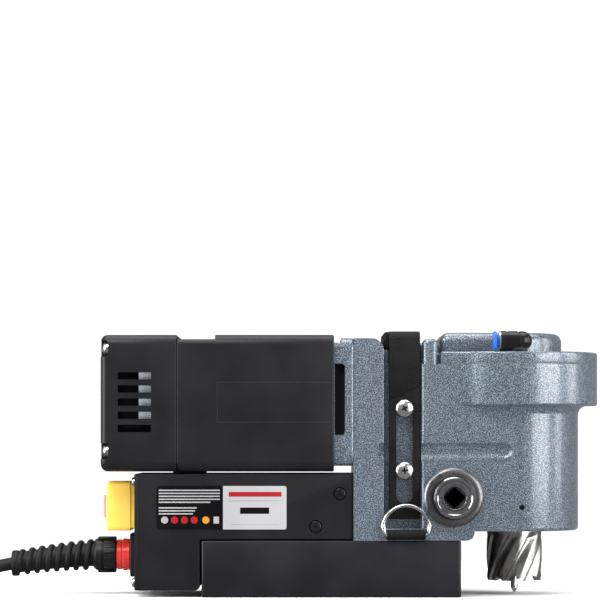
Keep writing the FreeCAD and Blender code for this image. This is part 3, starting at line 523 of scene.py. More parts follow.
# the nodes that no modelled piece covers
keptFinish = {
    "black": ["brush_holders", "fan"],
    "rubber": ["rubber_buffer"],
    "board": ["circuit_board"],
    "steel": ["armature_shaft", "motor_bearings", "bevel_pinion", "bevel_gear", "countershaft",
              "spur_pinion", "final_gear", "gear_bearings", "quill", "quill_bearings", "spindle",
              "pilot_pin", "pilot_spring", "feed_shaft"],
    "dark": ["brushes", "grub_screws"],
    "iron": ["field_stator", "armature_core"],
    "copper": ["magnet_coil", "commutator"],
    "strap": ["ring_loop"],
}


def dressKept():
    for finish, names in keptFinish.items():
        for name in names:
            nodes[name].data.materials.clear()
            nodes[name].data.materials.append(look[finish])


cordFacts = {"thick": 0.0084, "coilX": -0.312, "coilY": 0.046, "coilRadius": 0.046, "length": 2.8}
cordRoute = [(-0.208, 0, 0.0196), (-0.223, 0.0003, 0.0169), (-0.239, -0.0006, 0.0122),
             (-0.256, 0.0002, 0.0074), (-0.276, 0.0009, 0.0049)]


def coilPoints():
    # a lead-in, three layers of three turns a cord's width apart, then half a turn up to the plug
    thick, perTurn, turns = cordFacts["thick"], 16, 9
    points = [(-0.2945, -0.0036, 0.0044)]
    for n in range(perTurn * turns + perTurn // 2 + 1):
        done = n / perTurn
        layer = min(int(done / 3), 2)
        along = done - 3 * layer
        across = max(-1.0, min(1.0, (along - 1.3) / 1.3))
        if layer % 2:
            across = -across
        height = layer + (max(0.0, along - 2.7) / 0.3 if layer < 2 else 0.0)
        if done > turns:
            across, height = 0.0, 2 + 2.62 * (done - turns) / 0.5
        elif done > turns - 0.4:
            across = 1.0 - (done - turns + 0.4) / 0.4
        radius = cordFacts["coilRadius"] - thick * across
        turn = math.radians(-90) - 2 * math.pi * done
        points.append((cordFacts["coilX"] + radius * math.cos(turn),
                       cordFacts["coilY"] + radius * math.sin(turn), thick * (0.5 + height)))
    return points


def addCord():
    points = cordRoute + coilPoints()
    curve = bpy.data.curves.new("powerCord", "CURVE")
    curve.dimensions = "3D"
    curve.bevel_depth = cordFacts["thick"] / 2
    curve.bevel_resolution = 5
    curve.resolution_u = 6
    curve.use_fill_caps = True
    spline = curve.splines.new("NURBS")
    spline.points.add(len(points) - 1)
    for point, place in zip(spline.points, points):
        point.co = (*place, 1)
    spline.order_u = 3
    spline.use_endpoint_u = True
    cord = bpy.data.objects.new("supplyCord", curve)
    bpy.context.scene.collection.objects.link(cord)
    curve.materials.append(look["rubber"])
    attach(cord, "frame")
    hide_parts("power_cord", "cord_coil")


casting = {
    "left": 0.0142, "foot": 0.036, "nose": 0.0419, "half": 0.042, "channelLeft": 0.0335,
    "channelRight": 0.0576, "channelFloor": 0.034, "pad": 0.1655, "shoulder": 0.1499,
    "deck": 0.1489, "axisX": 0.120, "chamberRadius": 0.0539, "chamberLow": 0.1226,
    "humps": (0.0585, 0.068), "grooveLow": 0.0864, "grooveHigh": 0.0985,
}


def chamberPlan(startX, sideY):
    # plan of the round chamber swept into the flat sides, as (x, y) points
    c = casting
    bend = 0.028
    centreX = c["axisX"] - math.sqrt((c["chamberRadius"] + bend) ** 2 - (c["half"] + bend) ** 2)
    meet = math.atan2(c["half"] + bend, c["axisX"] - centreX)
    front = [(startX, -sideY)]
    front += arc((centreX, -c["half"] - bend), bend, 90, math.degrees(meet), 8)
    front += arc((c["axisX"], 0), c["chamberRadius"], math.degrees(meet) + 180, 360, 44)
    back = [(x, -y) for x, y in reversed(front[:-1])]
    return front + back


def addCasting():
    c = casting
    half, left, foot = c["half"], c["left"], c["foot"]
    pad = addBlock("gearCasting", (left, -half, foot), (c["channelLeft"], half, c["pad"]))
    roundEdges(pad, 0.0080, 7, lambda e: edgeRuns(e, "y") and edgeMiddle(e).x > 0.03
               and edgeMiddle(e).z > 0.16)
    roundEdges(pad, 0.0032, 5, lambda e: edgeRuns(e, "z") and edgeMiddle(e).x > 0.03
               or edgeRuns(e, "x") and edgeMiddle(e).z > 0.16)
    core = addBlock("core", (left + 0.002, -c["channelFloor"], c["nose"] + 0.0003),
                    (c["axisX"] - 0.001, c["channelFloor"], c["shoulder"]), 0.0008, 2)
    sill = addBlock("sill", (left + 0.0002, -half + 0.00005, foot), (0.0915, half - 0.00005, 0.0440))
    roundEdges(sill, 0.0045, 2, lambda e: edgeRuns(e, "y") and edgeMiddle(e).x > 0.09
               and edgeMiddle(e).z < 0.04)
    roundEdges(sill, 0.0008, 2, lambda e: edgeMiddle(e).z < 0.0365)
    right = addBlock("right", (c["channelRight"], -half, c["nose"] + 0.0001),
                     (c["axisX"] + 0.001, half, c["deck"] - 0.0001))
    roundEdges(right, 0.0022, 4, lambda e: edgeRuns(e, "z") and edgeMiddle(e).x < 0.06)
    roundEdges(right, 0.0012, 3, lambda e: edgeRuns(e, "x") and edgeMiddle(e).z > 0.14)
    humps = []
    for side in (-1, 1):
        low, high = spanAt(side, 0.026, half)
        hump = addBlock("hump", (c["humps"][0], low + 0.0001, 0.146), (c["humps"][1], high - 0.0001, 0.165))
        roundEdges(hump, 0.003, 5, lambda e: edgeMiddle(e).z > 0.147)
        humps.append(hump)
    web = addBlock("web", (0.0300, -c["channelFloor"], 0.146), (0.0368, c["channelFloor"], 0.1583), 0.0010, 2)
    plan = chamberPlan(0.080, c["half"] - 0.006)
    chamber = addPrism("chamber", plan, "z", c["chamberLow"], c["deck"])
    roundEdges(chamber, 0.002, 4, lambda e: edgeMiddle(e).z < c["chamberLow"] + 1e-5)
    outline = [(0.0, 0.0419)] + arc((0.0393, 0.0441), 0.0022, -90, 0, 5)
    outline += arc((0.0475, 0.1166), 0.006, 180, 90, 8) + [(0.050, c["chamberLow"] + 0.001),
                                                             (0.050, 0.140), (0.0, 0.140)]
    nose = addTurned("nose", (c["axisX"], 0, 0), "z", outline, 128)
    whole = combine("UNION", pad, core, sill, right, web, *humps, chamber, nose)
    tools = []
    middle = (c["grooveLow"] + c["grooveHigh"]) / 2
    for side in (-1, 1):
        front = side * (half + 0.0026)
        tools.append(addRod("groove", (0.0305, front, middle), "x", 0.1104 - 0.0305, 0.0066, 48))
        dropPick()
        bpy.ops.mesh.primitive_uv_sphere_add(segments=48, ring_count=24, radius=0.0066,
                                             location=(0.1104, front, middle))
        tools.append(bakePlace(bpy.context.object))
    tools += [
        addRod("quillBore", (c["axisX"], 0, 0.04), "z", 0.0846, 0.02805, 96),
        addRod("bearingSeat", (c["axisX"], 0, 0.1193), "z", 0.0087, 0.027, 96),
        addRod("gearRoom", (c["axisX"], 0, 0.127), "z", 0.03, 0.039, 96),
        addRod("pinionRoom", (0.072, 0, 0.1345), "z", 0.03, 0.017),
        addRod("crownRoom", (0.072, 0, 0.102), "z", 0.033, 0.0195),
        addRod("lowerSeat", (0.072, 0, 0.092), "z", 0.011, 0.014),
        addRod("motorWay", (0.012, 0, 0.1239), "x", 0.048, 0.014),
        addRod("feedBore", (0.0779, -0.06, 0.0638), "y", 0.12, 0.0185, 96),
        addRod("drainHole", (0.1218, -0.05, 0.0573), "y", 0.0205, 0.0018, 24),
    ]
    combine("DIFFERENCE", whole, *tools)
    finishPiece(whole, look["hammered"], "frame", ["gear_housing"], 32)
    print("gear casting made")


coverFacts = {
    "low": 0.1489, "high": 0.1569, "capHigh": 0.1694, "left": 0.070, "capRadius": 0.0306,
    "sink": 0.0038, "screwRing": 0.0455, "screwTurns": (-120, -60, 0, 60, 120), "inset": 0.94,
}


def coverScrewPlaces():
    turns = [math.radians(turn) for turn in coverFacts["screwTurns"]]
    return [(0.120 + coverFacts["screwRing"] * math.cos(turn), coverFacts["screwRing"] * math.sin(turn))
            for turn in turns]


def addCover():
    c = coverFacts
    plate = addPrism("gearCoverCasting", chamberPlan(c["left"], casting["half"]), "z", c["low"] + 0.00025,
                     c["high"])
    roundEdges(plate, 0.0012, 4, lambda e: edgeMiddle(e).z > c["high"] - 1e-5)
    roundEdges(plate, 0.0005, 2, lambda e: edgeMiddle(e).z < c["low"] + 0.0003)
    tongue = addRod("tongue", (0.072, 0, c["low"] + 0.0002), "z", 0.0078, 0.012, 48, 0.001)
    outline = [(c["left"], -c["capRadius"])]
    outline += arc((0.120, 0), c["capRadius"], -90, 90, 48) + [(c["left"], c["capRadius"])]
    cap = addPrism("cap", outline, "z", c["high"] - 0.001, c["capHigh"])
    roundEdges(cap, 0.006, 6, lambda e: edgeRuns(e, "z") and edgeMiddle(e).x < 0.0705)
    roundEdges(cap, 0.0055, 6, lambda e: edgeMiddle(e).z > c["capHigh"] - 1e-5)
    combine("UNION", plate, tongue, cap)
    tools = [addRod("seat", (0.120, 0, 0.1479), "z", 0.009, 0.026, 96),
             addRod("room", (0.120, 0, 0.1549), "z", 0.0115, 0.015),
             addRod("counterSeat", (0.072, 0, 0.1479), "z", 0.0084, 0.010)]
    for x, y in coverScrewPlaces():
        tools.append(addRod("way", (x, y, 0.147), "z", 0.012, 0.0026, 24))
        tools.append(addRod("counterbore", (x, y, c["high"] - c["sink"]), "z", 0.005, 0.0049, 48))
    combine("DIFFERENCE", plate, *tools)
    paint(plate, "hammered")
    # a thin gasket shows as a line under the cover
    gasket = addPrism("gasket", chamberPlan(c["left"], casting["half"]), "z", c["low"] + 0.00002,
                      c["low"] + 0.0003)
    opening = addPrism("opening", chamberPlan(c["left"] - 0.001, casting["half"] - 0.0035), "z", 0.148, 0.150)
    opening.data.transform(Matrix.Translation((0.120, 0, 0))
                           @ Matrix.Diagonal((c["inset"], c["inset"], 1, 1))
                           @ Matrix.Translation((-0.120, 0, 0)))
    combine("DIFFERENCE", gasket, opening)
    plate = joinAll("gearCoverCasting", [plate, paint(gasket, "gasket")])
    finishPiece(plate, None, "frame", ["gear_cover"], 32)
    print("gear cover made")


motorFacts = {
    "axis": 0.1239, "halfWide": 0.045, "halfTall": 0.0437, "corner": 0.0065, "wall": 0.003,
    "coverLeft": -0.1474, "seam": -0.0987, "right": 0.0017,
    "slotLeft": -0.1363, "slotRight": -0.115, "slotTall": 0.0047, "slotPitch": 0.0084,
    "slotTop": 0.1437, "slots": 5, "plate": (0.1116, 0.1374, -0.073, 0.0007),
    "screwSide": 0.0397, "screwHeights": (0.0932, 0.1588), "notchEnd": -0.1423,
}


def rearCorners():
    # side and height of the four screws of the rear cover
    return [(side, z) for side in (-1, 1) for z in motorFacts["screwHeights"]]


def motorBlock(name, left, right, inset=0.0):
    m = motorFacts
    wide, tall = m["halfWide"] - inset, m["halfTall"] - inset
    block = addBlock(name, (left, -wide, m["axis"] - tall), (right, wide, m["axis"] + tall))
    return roundEdges(block, m["corner"] - inset, 7, lambda e: edgeRuns(e, "x"))


def addMotorBarrel():
    m = motorFacts
    barrel = motorBlock("motorBarrel", m["seam"] + 0.0002, m["right"])
    roundEdges(barrel, 0.0009, 3, lambda e: not edgeRuns(e, "x")
               and abs(e.verts[0].co.x - e.verts[1].co.x) < 1e-6)
    tools = [motorBlock("hollow", m["seam"] - 0.001, m["right"] + 0.001, m["wall"])]
    # the raised outline of a rating plate on each side, painted lighter than the barrel as a painted
    # highlight on its edges
    low, high, left, right = m["plate"]
    lines = []
    for side in (-1, 1):
        face = side * m["halfWide"]
        for a, b in (((left, low), (right, low + 0.0004)), ((left, high - 0.0004), (right, high)),
                     ((left, low), (left + 0.0004, high)), ((right - 0.0004, low), (right, high))):
            lines.append(addBlock("line", (a[0], face - 0.00014, a[1]), (b[0], face + 0.00014, b[1])))
    # the shallow step in the top, with its row of air slots
    top = m["axis"] + m["halfTall"]
    tools.append(addBlock("step", (m["seam"] - 0.001, -0.048, top - 0.0029),
                          (-0.0742, 0.048, top + 0.002), 0.0006, 2))
    for n in range(9):
        x = -0.0958 + 0.0024 * n
        tools.append(addBlock("airSlot", (x, -0.030, 0.158), (x + 0.0011, 0.030, 0.170)))
    combine("DIFFERENCE", barrel, *tools)
    # the outline's lighter paint is a painted highlight
    lines = [paint(line, "edge") for line in lines]
    barrel = joinAll("motorBarrel", [paint(barrel, "black")] + lines)
    finishPiece(barrel, None, "frame", ["motor_housing"])


def addRearCover():
    m = motorFacts
    cover = motorBlock("rearCoverShell", m["coverLeft"], m["seam"])
    roundEdges(cover, 0.0045, 6, lambda e: edgeMiddle(e).x < m["coverLeft"] + 1e-5)
    roundEdges(cover, 0.0007, 2, lambda e: edgeMiddle(e).x > m["seam"] - 1e-5)
    tools = [motorBlock("hollow", m["coverLeft"] + 0.004, m["seam"] + 0.001, m["wall"])]
    for side in (-1, 1):
        for n in range(m["slots"]):
            top = m["slotTop"] - m["slotPitch"] * n
            face = side * m["halfWide"]
            slot = addBlock("slot", (m["slotLeft"], face - 0.004, top - m["slotTall"]),
                            (m["slotRight"], face + 0.004, top))
            roundEdges(slot, 0.0008, 3, lambda e: edgeRuns(e, "y"))
            tools.append(slot)
    for side, z in rearCorners():
        low, high = spanAt(side, 0.0345, 0.0465)
        corner = addBlock("corner", (m["coverLeft"] - 0.001, low, z - 0.0052),
                          (m["notchEnd"], high, z + 0.0052))
        tools.append(roundEdges(corner, 0.002, 3, lambda e: edgeRuns(e, "y") and edgeMiddle(e).x > -0.143))
        tools.append(addRod("way", (m["coverLeft"] - 0.001, side * m["screwSide"], z), "x", 0.0135, 0.0022,
                            24))
    combine("DIFFERENCE", cover, *tools)
    ribs = []
    for side in (-1, 1):
        for n in range(m["slots"] + 1):
            middle = m["slotTop"] - m["slotPitch"] * (n - 0.5) - m["slotTall"] / 2
            rib = addBlock("rib", (m["slotLeft"] - 0.001, -0.0008, -0.0021),
                           (m["slotRight"] + 0.001, 0.0008, 0.0021), 0.0004, 2)
            lean = Matrix.Rotation(math.radians(35 * side), 4, "X")
            rib.data.transform(Matrix.Translation((0, side * (m["halfWide"] - 0.0042), middle)) @ lean)
            ribs.append(rib)
    for side, z in rearCorners():
        low, high = spanAt(side, 0.033, 0.0424)
        post = addBlock("post", (-0.1422, low, z - 0.007), (-0.1294, high, z + 0.007))
        way = addRod("way", (-0.143, side * m["screwSide"], z), "x", 0.009, 0.0022, 24)
        ribs.append(combine("DIFFERENCE", post, way))
    boss = addTurned("boss", (0, 0, m["axis"]), "x",
                     [(0.011, -0.1404), (0.011, -0.1294), (0.016, -0.1294), (0.016, -0.1439),
                      (0.0, -0.1439), (0.0, -0.1404)], 64)
    # dark shields stand behind the air slots
    for side in (-1, 1):
        low, high = spanAt(side, 0.029, 0.0305)
        ribs.append(addBlock("shield", (-0.1372, low, 0.0950), (-0.1200, high, 0.1475), 0.0004, 2))
        ribs.append(addBlock("lowShield", (-0.1205, low, 0.0950), (-0.1130, high, 0.1110), 0.0004, 2))
    parts = [paint(joinAll("rearCoverShell", [cover, boss] + ribs), "black")]
    # a pale sleeve just inside the right end of the air slots is painted light, standing for the light seen
    # through them
    for side in (-1, 1):
        low, high = spanAt(side, 0.0375, 0.0381)
        parts.append(paint(addBlock("sleeve", (-0.1232, low, 0.1110), (-0.1140, high, 0.1475), 0.0002, 1),
                           "throughLight"))
    cover = joinAll("rearCoverShell", parts)
    finishPiece(cover, None, "frame", ["rear_cover"])
    print("motor shells made")


reliefFacts = {"left": -0.1546, "long": 0.0534, "turns": 7.6, "startX": -0.1552, "endX": -0.2035,
               "bigRadius": 0.0092, "smallRadius": 0.0074, "wire": 0.0019, "rings": 12}


def reliefAxis(x):
    # the sleeve droops towards the floor, more and more steeply
    along = (reliefFacts["left"] - x) / reliefFacts["long"]
    return Vector((x, 0, 0.0256 - 0.0032 * along - 0.0028 * along * along))


def addStrainRelief():
    r = reliefFacts
    rings = r["rings"]
    core = [(reliefAxis(r["left"] - r["long"] * n / rings), 0.0078 - 0.0012 * n / rings)
            for n in range(rings + 1)]
    dropPick()
    bpy.ops.mesh.primitive_cylinder_add(vertices=48, radius=1, depth=1, end_fill_type="NGON")
    sleeve = bpy.context.object
    sleeve.name = "strainSleeve"
    pickParts(sleeve, "EDGE", lambda e: edgeRuns(e, "z"))
    bpy.ops.mesh.subdivide(number_cuts=rings - 1)
    leaveEdit()
    for vertex in sleeve.data.vertices:
        n = round((vertex.co.z + 0.5) * rings)
        centre, radius = core[n]
        vertex.co = centre + Vector((0, vertex.co.x * radius, vertex.co.y * radius))
    count = int(r["turns"] * 28)
    places = []
    for n in range(count + 1):
        along = n / count
        x = r["startX"] + (r["endX"] - r["startX"]) * along
        radius = r["bigRadius"] + (r["smallRadius"] - r["bigRadius"]) * along - 0.0008
        turn = 2 * math.pi * r["turns"] * along
        places.append(reliefAxis(x) + Vector((0, radius * math.cos(turn), radius * math.sin(turn))))
    spiral = addWire("spiral", places, r["wire"], 3)
    collar = addTurned("collar", (0, 0, 0.0199), "x",
                       [(0.0043, -0.2080), (0.0078, -0.2080), (0.0084, -0.2073), (0.0084, -0.2040),
                        (0.0078, -0.2033), (0.0043, -0.2033), (0.0043, -0.2080)], 48)
    relief = joinAll("strainRelief", [sleeve, spiral, collar])
    finishPiece(relief, look["rubber"], "frame", ["strain_relief"], 50)
    print("strain relief made")


def turnedTo(obj, place, facing, roll=0.0):
    # moves a piece built along +z at the origin so that it faces another way
    turn = Vector(facing).to_track_quat("Z", "Y").to_matrix().to_4x4()
    obj.data.transform(Matrix.Translation(Vector(place)) @ turn @ Matrix.Rotation(roll, 4, "Z"))
    return obj


def addPanScrew(place, facing, radius, tall, shank, length, finish, roll=0.4):
    # domed head with a cross recess, its floor painted shade
    dome = [(radius, 0.0), (radius, tall * 0.30)]
    dome += [(radius * math.cos(t), tall * (0.30 + 0.70 * math.sin(t))) for t in (0.35, 0.7, 1.05, 1.35)]
    head = addTurned("screwHead", (0, 0, 0), "z", [(0, 0)] + dome + [(0, tall)], 48)
    wide, reach = radius * 0.09, radius * 0.36
    cross = addBlock("cross", (-reach, -wide, tall * 0.35), (reach, wide, tall * 1.2))
    other = addBlock("other", (-wide, -reach, tall * 0.35), (wide, reach, tall * 1.2))
    combine("DIFFERENCE", head, cross, other)
    stem = addRod("stem", (0, 0, 0.0002), "z", -length, shank, 24)
    screw = paint(joinAll("screw", [head, stem]), finish)
    # near-black sheets at the bottom of the cross are painted shade
    slots = [paint(addBlock("slot", (-reach, -wide, tall * 0.34), (reach, wide, tall * 0.42)), "paintedShade"),
             paint(addBlock("slot", (-wide, -reach, tall * 0.341), (wide, reach, tall * 0.421)), "paintedShade")]
    return turnedTo(joinAll("screw", [screw] + slots), place, facing, roll)


def addSocketScrew(place, facing, radius, tall, shank, length):
    # cylinder head with a hexagon socket
    head = addTurned("screwHead", (0, 0, 0), "z",
                     [(0, 0), (radius, 0), (radius, tall - 0.0005), (radius - 0.0005, tall), (0, tall)], 48)
    combine("DIFFERENCE", head, addRod("socket", (0, 0, tall * 0.4), "z", tall, radius * 0.56, 6))
    stem = addRod("stem", (0, 0, 0.0002), "z", -length, shank, 24)
    return turnedTo(joinAll("screw", [head, stem]), place, facing, 0.2)


magnetFacts = {"half": (0.083, 0.042), "tall": 0.036,
               "pocket": ((-0.060, -0.022, 0.008), (0.060, 0.022, 0.030))}


def addMagnet():
    long, wide = magnetFacts["half"]
    body = addBlock("magnetShell", (-long, -wide, 0), (long, wide, magnetFacts["tall"]))
    roundEdges(body, 0.0018, 4, lambda e: edgeRuns(e, "z"))
    roundEdges(body, 0.0009, 3, lambda e: not edgeRuns(e, "z"))
    combine("DIFFERENCE", body, addBlock("pocket", *magnetFacts["pocket"]))
    finishPiece(body, look["magnet"], "frame", ["magnet_body"])
    print("magnet made")


boxFacts = {
    "screws": ((0.0055, 0.066), (-0.010, 0.045)), "half": 0.040, "wall": 0.0025,
    "left": -0.1235, "step": -0.0842, "right": 0.014, "low": 0.004, "stepHigh": 0.0368, "high": 0.0787,
    "corners": [(y, z) for y in (-0.035, 0.035) for z in (0.009, 0.0735)],
}


def addControlBox():
    b = boxFacts
    outline = [(b["left"], b["low"]), (b["step"], b["low"]), (b["step"], b["stepHigh"]),
               (b["right"], b["stepHigh"]), (b["right"], b["high"]), (b["left"], b["high"])]
    shell = addPrism("controlBoxShell", outline, "y", -b["half"], b["half"])
    roundEdges(shell, 0.0032, 5, lambda e: edgeRuns(e, "y") and edgeMiddle(e).x > -0.1
               and edgeMiddle(e).z < 0.01)
    roundEdges(shell, 0.0012, 3, lambda e: edgeMiddle(e).x > -0.123
               and not (edgeRuns(e, "y") and edgeMiddle(e).z < 0.036 and edgeMiddle(e).x < -0.08
                        and edgeMiddle(e).z > 0.03))
    hollow = [(-0.126, 0.0065), (-0.0867, 0.0065), (-0.0867, 0.0393), (0.0115, 0.0393),
              (0.0115, 0.0762), (-0.126, 0.0762)]
    tools = [addPrism("hollow", hollow, "y", -b["half"] + b["wall"], b["half"] - b["wall"])]
    for x, z in b["screws"]:
        tools.append(addRod("seat", (x, -b["half"] - 0.001, z), "y", 0.0026, 0.0044, 48))
        tools.append(addRod("way", (x, -b["half"] - 0.001, z), "y", 0.005, 0.0021, 24))
    tools.append(addRod("passage", (-0.092, 0, 0.0727), "z", 0.007, 0.007, 32))
    combine("DIFFERENCE", shell, *tools)
    finishPiece(shell, look["powder"], "frame", ["control_box"])
    screws = [addPanScrew((x, -0.0384, z), (0, -1, 0), 0.0039, 0.0012, 0.0018, 0.005, "gloss")
              for x, z in b["screws"]]
    finishPiece(joinAll("boxScrews", screws), None, "frame", ["box_screws"])

    panel = addBlock("endPanel", (-0.126, -b["half"], b["low"]), (b["left"], b["half"], b["high"]), 0.0008, 2)
    tools = [addRod("cableWay", (-0.127, 0, 0.0256), "x", 0.005, 0.008, 48),
             addBlock("switchWay", (-0.127, -0.017, 0.045), (-0.122, 0.017, 0.070))]
    tools += [addRod("way", (-0.127, y, z), "x", 0.005, 0.0016, 24) for y, z in b["corners"]]
    combine("DIFFERENCE", panel, *tools)
    finishPiece(panel, look["powder"], "frame", ["end_panel"])
    screws = [addPanScrew((-0.126, y, z), (-1, 0, 0), 0.0032, 0.0022, 0.0014, 0.0023, "steel")
              for y, z in b["corners"]]
    finishPiece(joinAll("panelScrews", screws), None, "frame", ["panel_screws"])
    print("control box made")


labelFacts = {
    "face": -0.0400, "left": -0.1117, "split": -0.0692, "right": -0.0286, "low": 0.0432, "high": 0.071,
    "textLeft": -0.1103, "line": 0.0019,
    "dots": ((-0.1065, "greyInk"), (-0.1002, "redInk"), (-0.0939, "redInk"), (-0.0876, "redInk"),
             (-0.0802, "amber")),
    "blocks": (("paleBar", -0.0752, -0.0718, 0.0470, 0.0514), ("redInk", -0.0655, -0.0318, 0.0642, 0.0672),
               ("greyInk", -0.0655, -0.0318, 0.0612, 0.0618), ("darkInk", -0.0583, -0.0397, 0.0532, 0.0572),
               ("greyInk", -0.0640, -0.0335, 0.0460, 0.0466)),
}


def addInk(name, finish, left, right, low, high, lift=0.00052):
    face = labelFacts["face"]
    return paint(addBlock(name, (left, face - lift, low), (right, face - 0.0002, high)), finish)


def addLabel():
    # two films: the left black with plain bars and dots, the right pale with plain blocks
    b = labelFacts
    films = [addInk("labelFilm", "darkInk", b["left"], b["split"] + 0.001, b["low"], b["high"], 0.00040),
             addInk("paleFilm", "white", b["split"], b["right"], b["low"], b["high"], 0.00046)]
    for film in films:
        roundEdges(film, 0.0014, 4, lambda e: edgeRuns(e, "y") and abs(edgeMiddle(e).x - b["split"]) > 0.002)
    inks = []
    for n in range(5):
        high = 0.0686 - b["line"] * n
        right = -0.0712 - (0.006 if n == 4 else 0)
        inks.append(addInk("bar", "paleBar", b["textLeft"], right, high - 0.0008, high))
    for n in range(3):
        high = 0.0574 - b["line"] * n
        inks.append(addInk("bar", "paleBar", b["textLeft"], -0.0860 - 0.0012 * n, high - 0.0008, high))
    for x, finish in b["dots"]:
        inks.append(paint(addRod("dot", (x, b["face"] - 0.00052, 0.0492), "y", 0.0003, 0.0023, 32), finish))
    for finish, left, right, low, high in b["blocks"]:
        inks.append(addInk("block", finish, left, right, low, high))
    plate = joinAll("ratingLabel", films + inks)
    finishPiece(plate, None, "frame", ["label_plate"])
    print("label made")


switchFacts = {
    "centre": 0.0575, "wellHalf": 0.0083, "capHalf": 0.0078,
    "caps": (("stopCap", "stop_button", -0.0095, -0.1474, "red", "stop"),
             ("startCap", "start_button", 0.0095, -0.1456, "green", "start")),
}


def addSwitch():
    f = switchFacts
    base = addBlock("switchBody", (-0.1306, -0.0205, 0.0432), (-0.126, 0.0205, 0.0722), 0.0012, 3)
    box = addBlock("box", (-0.1452, -0.0212, 0.0418), (-0.1297, 0.0212, 0.0735))
    roundEdges(box, 0.0028, 5, lambda e: edgeRuns(e, "x"))
    roundEdges(box, 0.0016, 4, lambda e: edgeMiddle(e).x < -0.1451)
    neck = addBlock("neck", (-0.1270, -0.0165, 0.0455), (-0.112, 0.0165, 0.0695))
    combine("UNION", base, box, neck)
    tools = []
    for name, node, y, out, finish, body in f["caps"]:
        well = addBlock("well", (-0.150, y - f["wellHalf"], 0.0497), (-0.118, y + f["wellHalf"], 0.0653))
        tools.append(roundEdges(well, 0.001, 3, lambda e: edgeRuns(e, "x")))
    combine("DIFFERENCE", base, *tools)
    finishPiece(base, look["yellow"], "frame", ["switch_housing"])
    for name, node, y, out, finish, body in f["caps"]:
        cap = addBlock(name, (out, y - f["capHalf"], 0.0502), (-0.132, y + f["capHalf"], 0.0648))
        roundEdges(cap, 0.0012, 4, lambda e: edgeMiddle(e).x < -0.14)
        dimple = addRod("dimple", (out - 0.0191, y, f["centre"]), "x", 0.0195, 0.0052, 48)
        combine("DIFFERENCE", cap, dimple)
        pin = addRod("pin", (-0.1325, y, f["centre"]), "x", 0.0085, 0.003, 32)
        finishPiece(joinAll(name, [cap, pin]), look[finish], body, [node])
    hood = addBlock("switchHood", (-0.1482, -0.0198, 0.0452), (-0.1452, 0.0198, 0.0698))
    roundEdges(hood, 0.002, 4, lambda e: edgeRuns(e, "x"))
    combine("DIFFERENCE", hood, addBlock("opening", (-0.15, -0.0182, 0.0468), (-0.144, 0.0182, 0.0682)))
    finishPiece(hood, look["clear"], "frame", ["switch_hood"])
    print("switch made")


inletFacts = {"axis": 0.0256, "cordHole": 0.005, "collarRibs": 24, "nutRibs": 18}


def addInlet():
    f = inletFacts
    axis, hole = f["axis"], f["cordHole"]
    flange = addBlock("inletFlange", (-0.1304, -0.014, 0.0115), (-0.126, 0.014, 0.0397))
    roundEdges(flange, 0.003, 4, lambda e: edgeRuns(e, "x"))
    roundEdges(flange, 0.0008, 3, lambda e: edgeMiddle(e).x < -0.1303)
    tail = addRod("tail", (-0.1262, 0, axis), "x", 0.0122, 0.0078, 48)
    combine("UNION", flange, tail)
    combine("DIFFERENCE", flange, addRod("way", (-0.133, 0, axis), "x", 0.009, hole, 48))
    finishPiece(flange, look["black"], "frame", ["power_inlet"])

    outline = [(hole, -0.1396), (0.0092, -0.1396), (0.0098, -0.1390), (0.0098, -0.1365), (0.0094, -0.1362),
               (0.0094, -0.1358), (0.0102, -0.1354), (0.0102, -0.1311), (0.0097, -0.1306), (hole, -0.1306),
               (hole, -0.1396)]
    collar = addTurned("inletCollar", (0, 0, axis), "x", outline, 72)
    ribs = addRibs((-0.1352, -0.0003, 0.0098), (-0.1330, 0.0003, 0.0105), 0.0002, (0, 0, axis),
                   [2 * math.pi * n / f["collarRibs"] for n in range(f["collarRibs"])])
    collar = joinAll("inletCollar", [collar] + ribs)
    finishPiece(collar, look["red"], "frame", ["inlet_collar"])

    outline = [(hole, -0.1545), (0.0088, -0.1545), (0.0104, -0.1528), (0.0106, -0.1490), (0.0100, -0.1486),
               (0.0100, -0.1480), (0.0106, -0.1476), (0.0106, -0.1405), (0.0100, -0.1399), (hole, -0.1399),
               (hole, -0.1545)]
    nut = addTurned("connectorNut", (0, 0, axis), "x", outline, 72)
    # ribs all round except where the two latches sit
    ribs = addRibs((-0.1474, -0.0007, 0.0098), (-0.1408, 0.0007, 0.0112), 0.0004, (0, 0, axis),
                   [2 * math.pi * n / f["nutRibs"] for n in range(f["nutRibs"]) if n % (f["nutRibs"] // 2)])
    for side in (-1, 1):
        low, high = spanAt(side, 0.0095, 0.0117)
        ribs.append(addBlock("latch", (-0.1518, -0.005, axis + low), (-0.1400, 0.005, axis + high),
                             0.0008, 3))
    nut = joinAll("connectorNut", [nut] + ribs)
    finishPiece(nut, look["black"], "frame", ["connector_body"])
    print("power inlet made")


flangeFacts = {"low": (0.0018, -0.043, 0.0838), "high": (0.01415, 0.043, 0.1655), "slotLeft": 0.0022,
               "slotRight": 0.0087, "slotLow": 0.1036, "slotHigh": 0.1492}


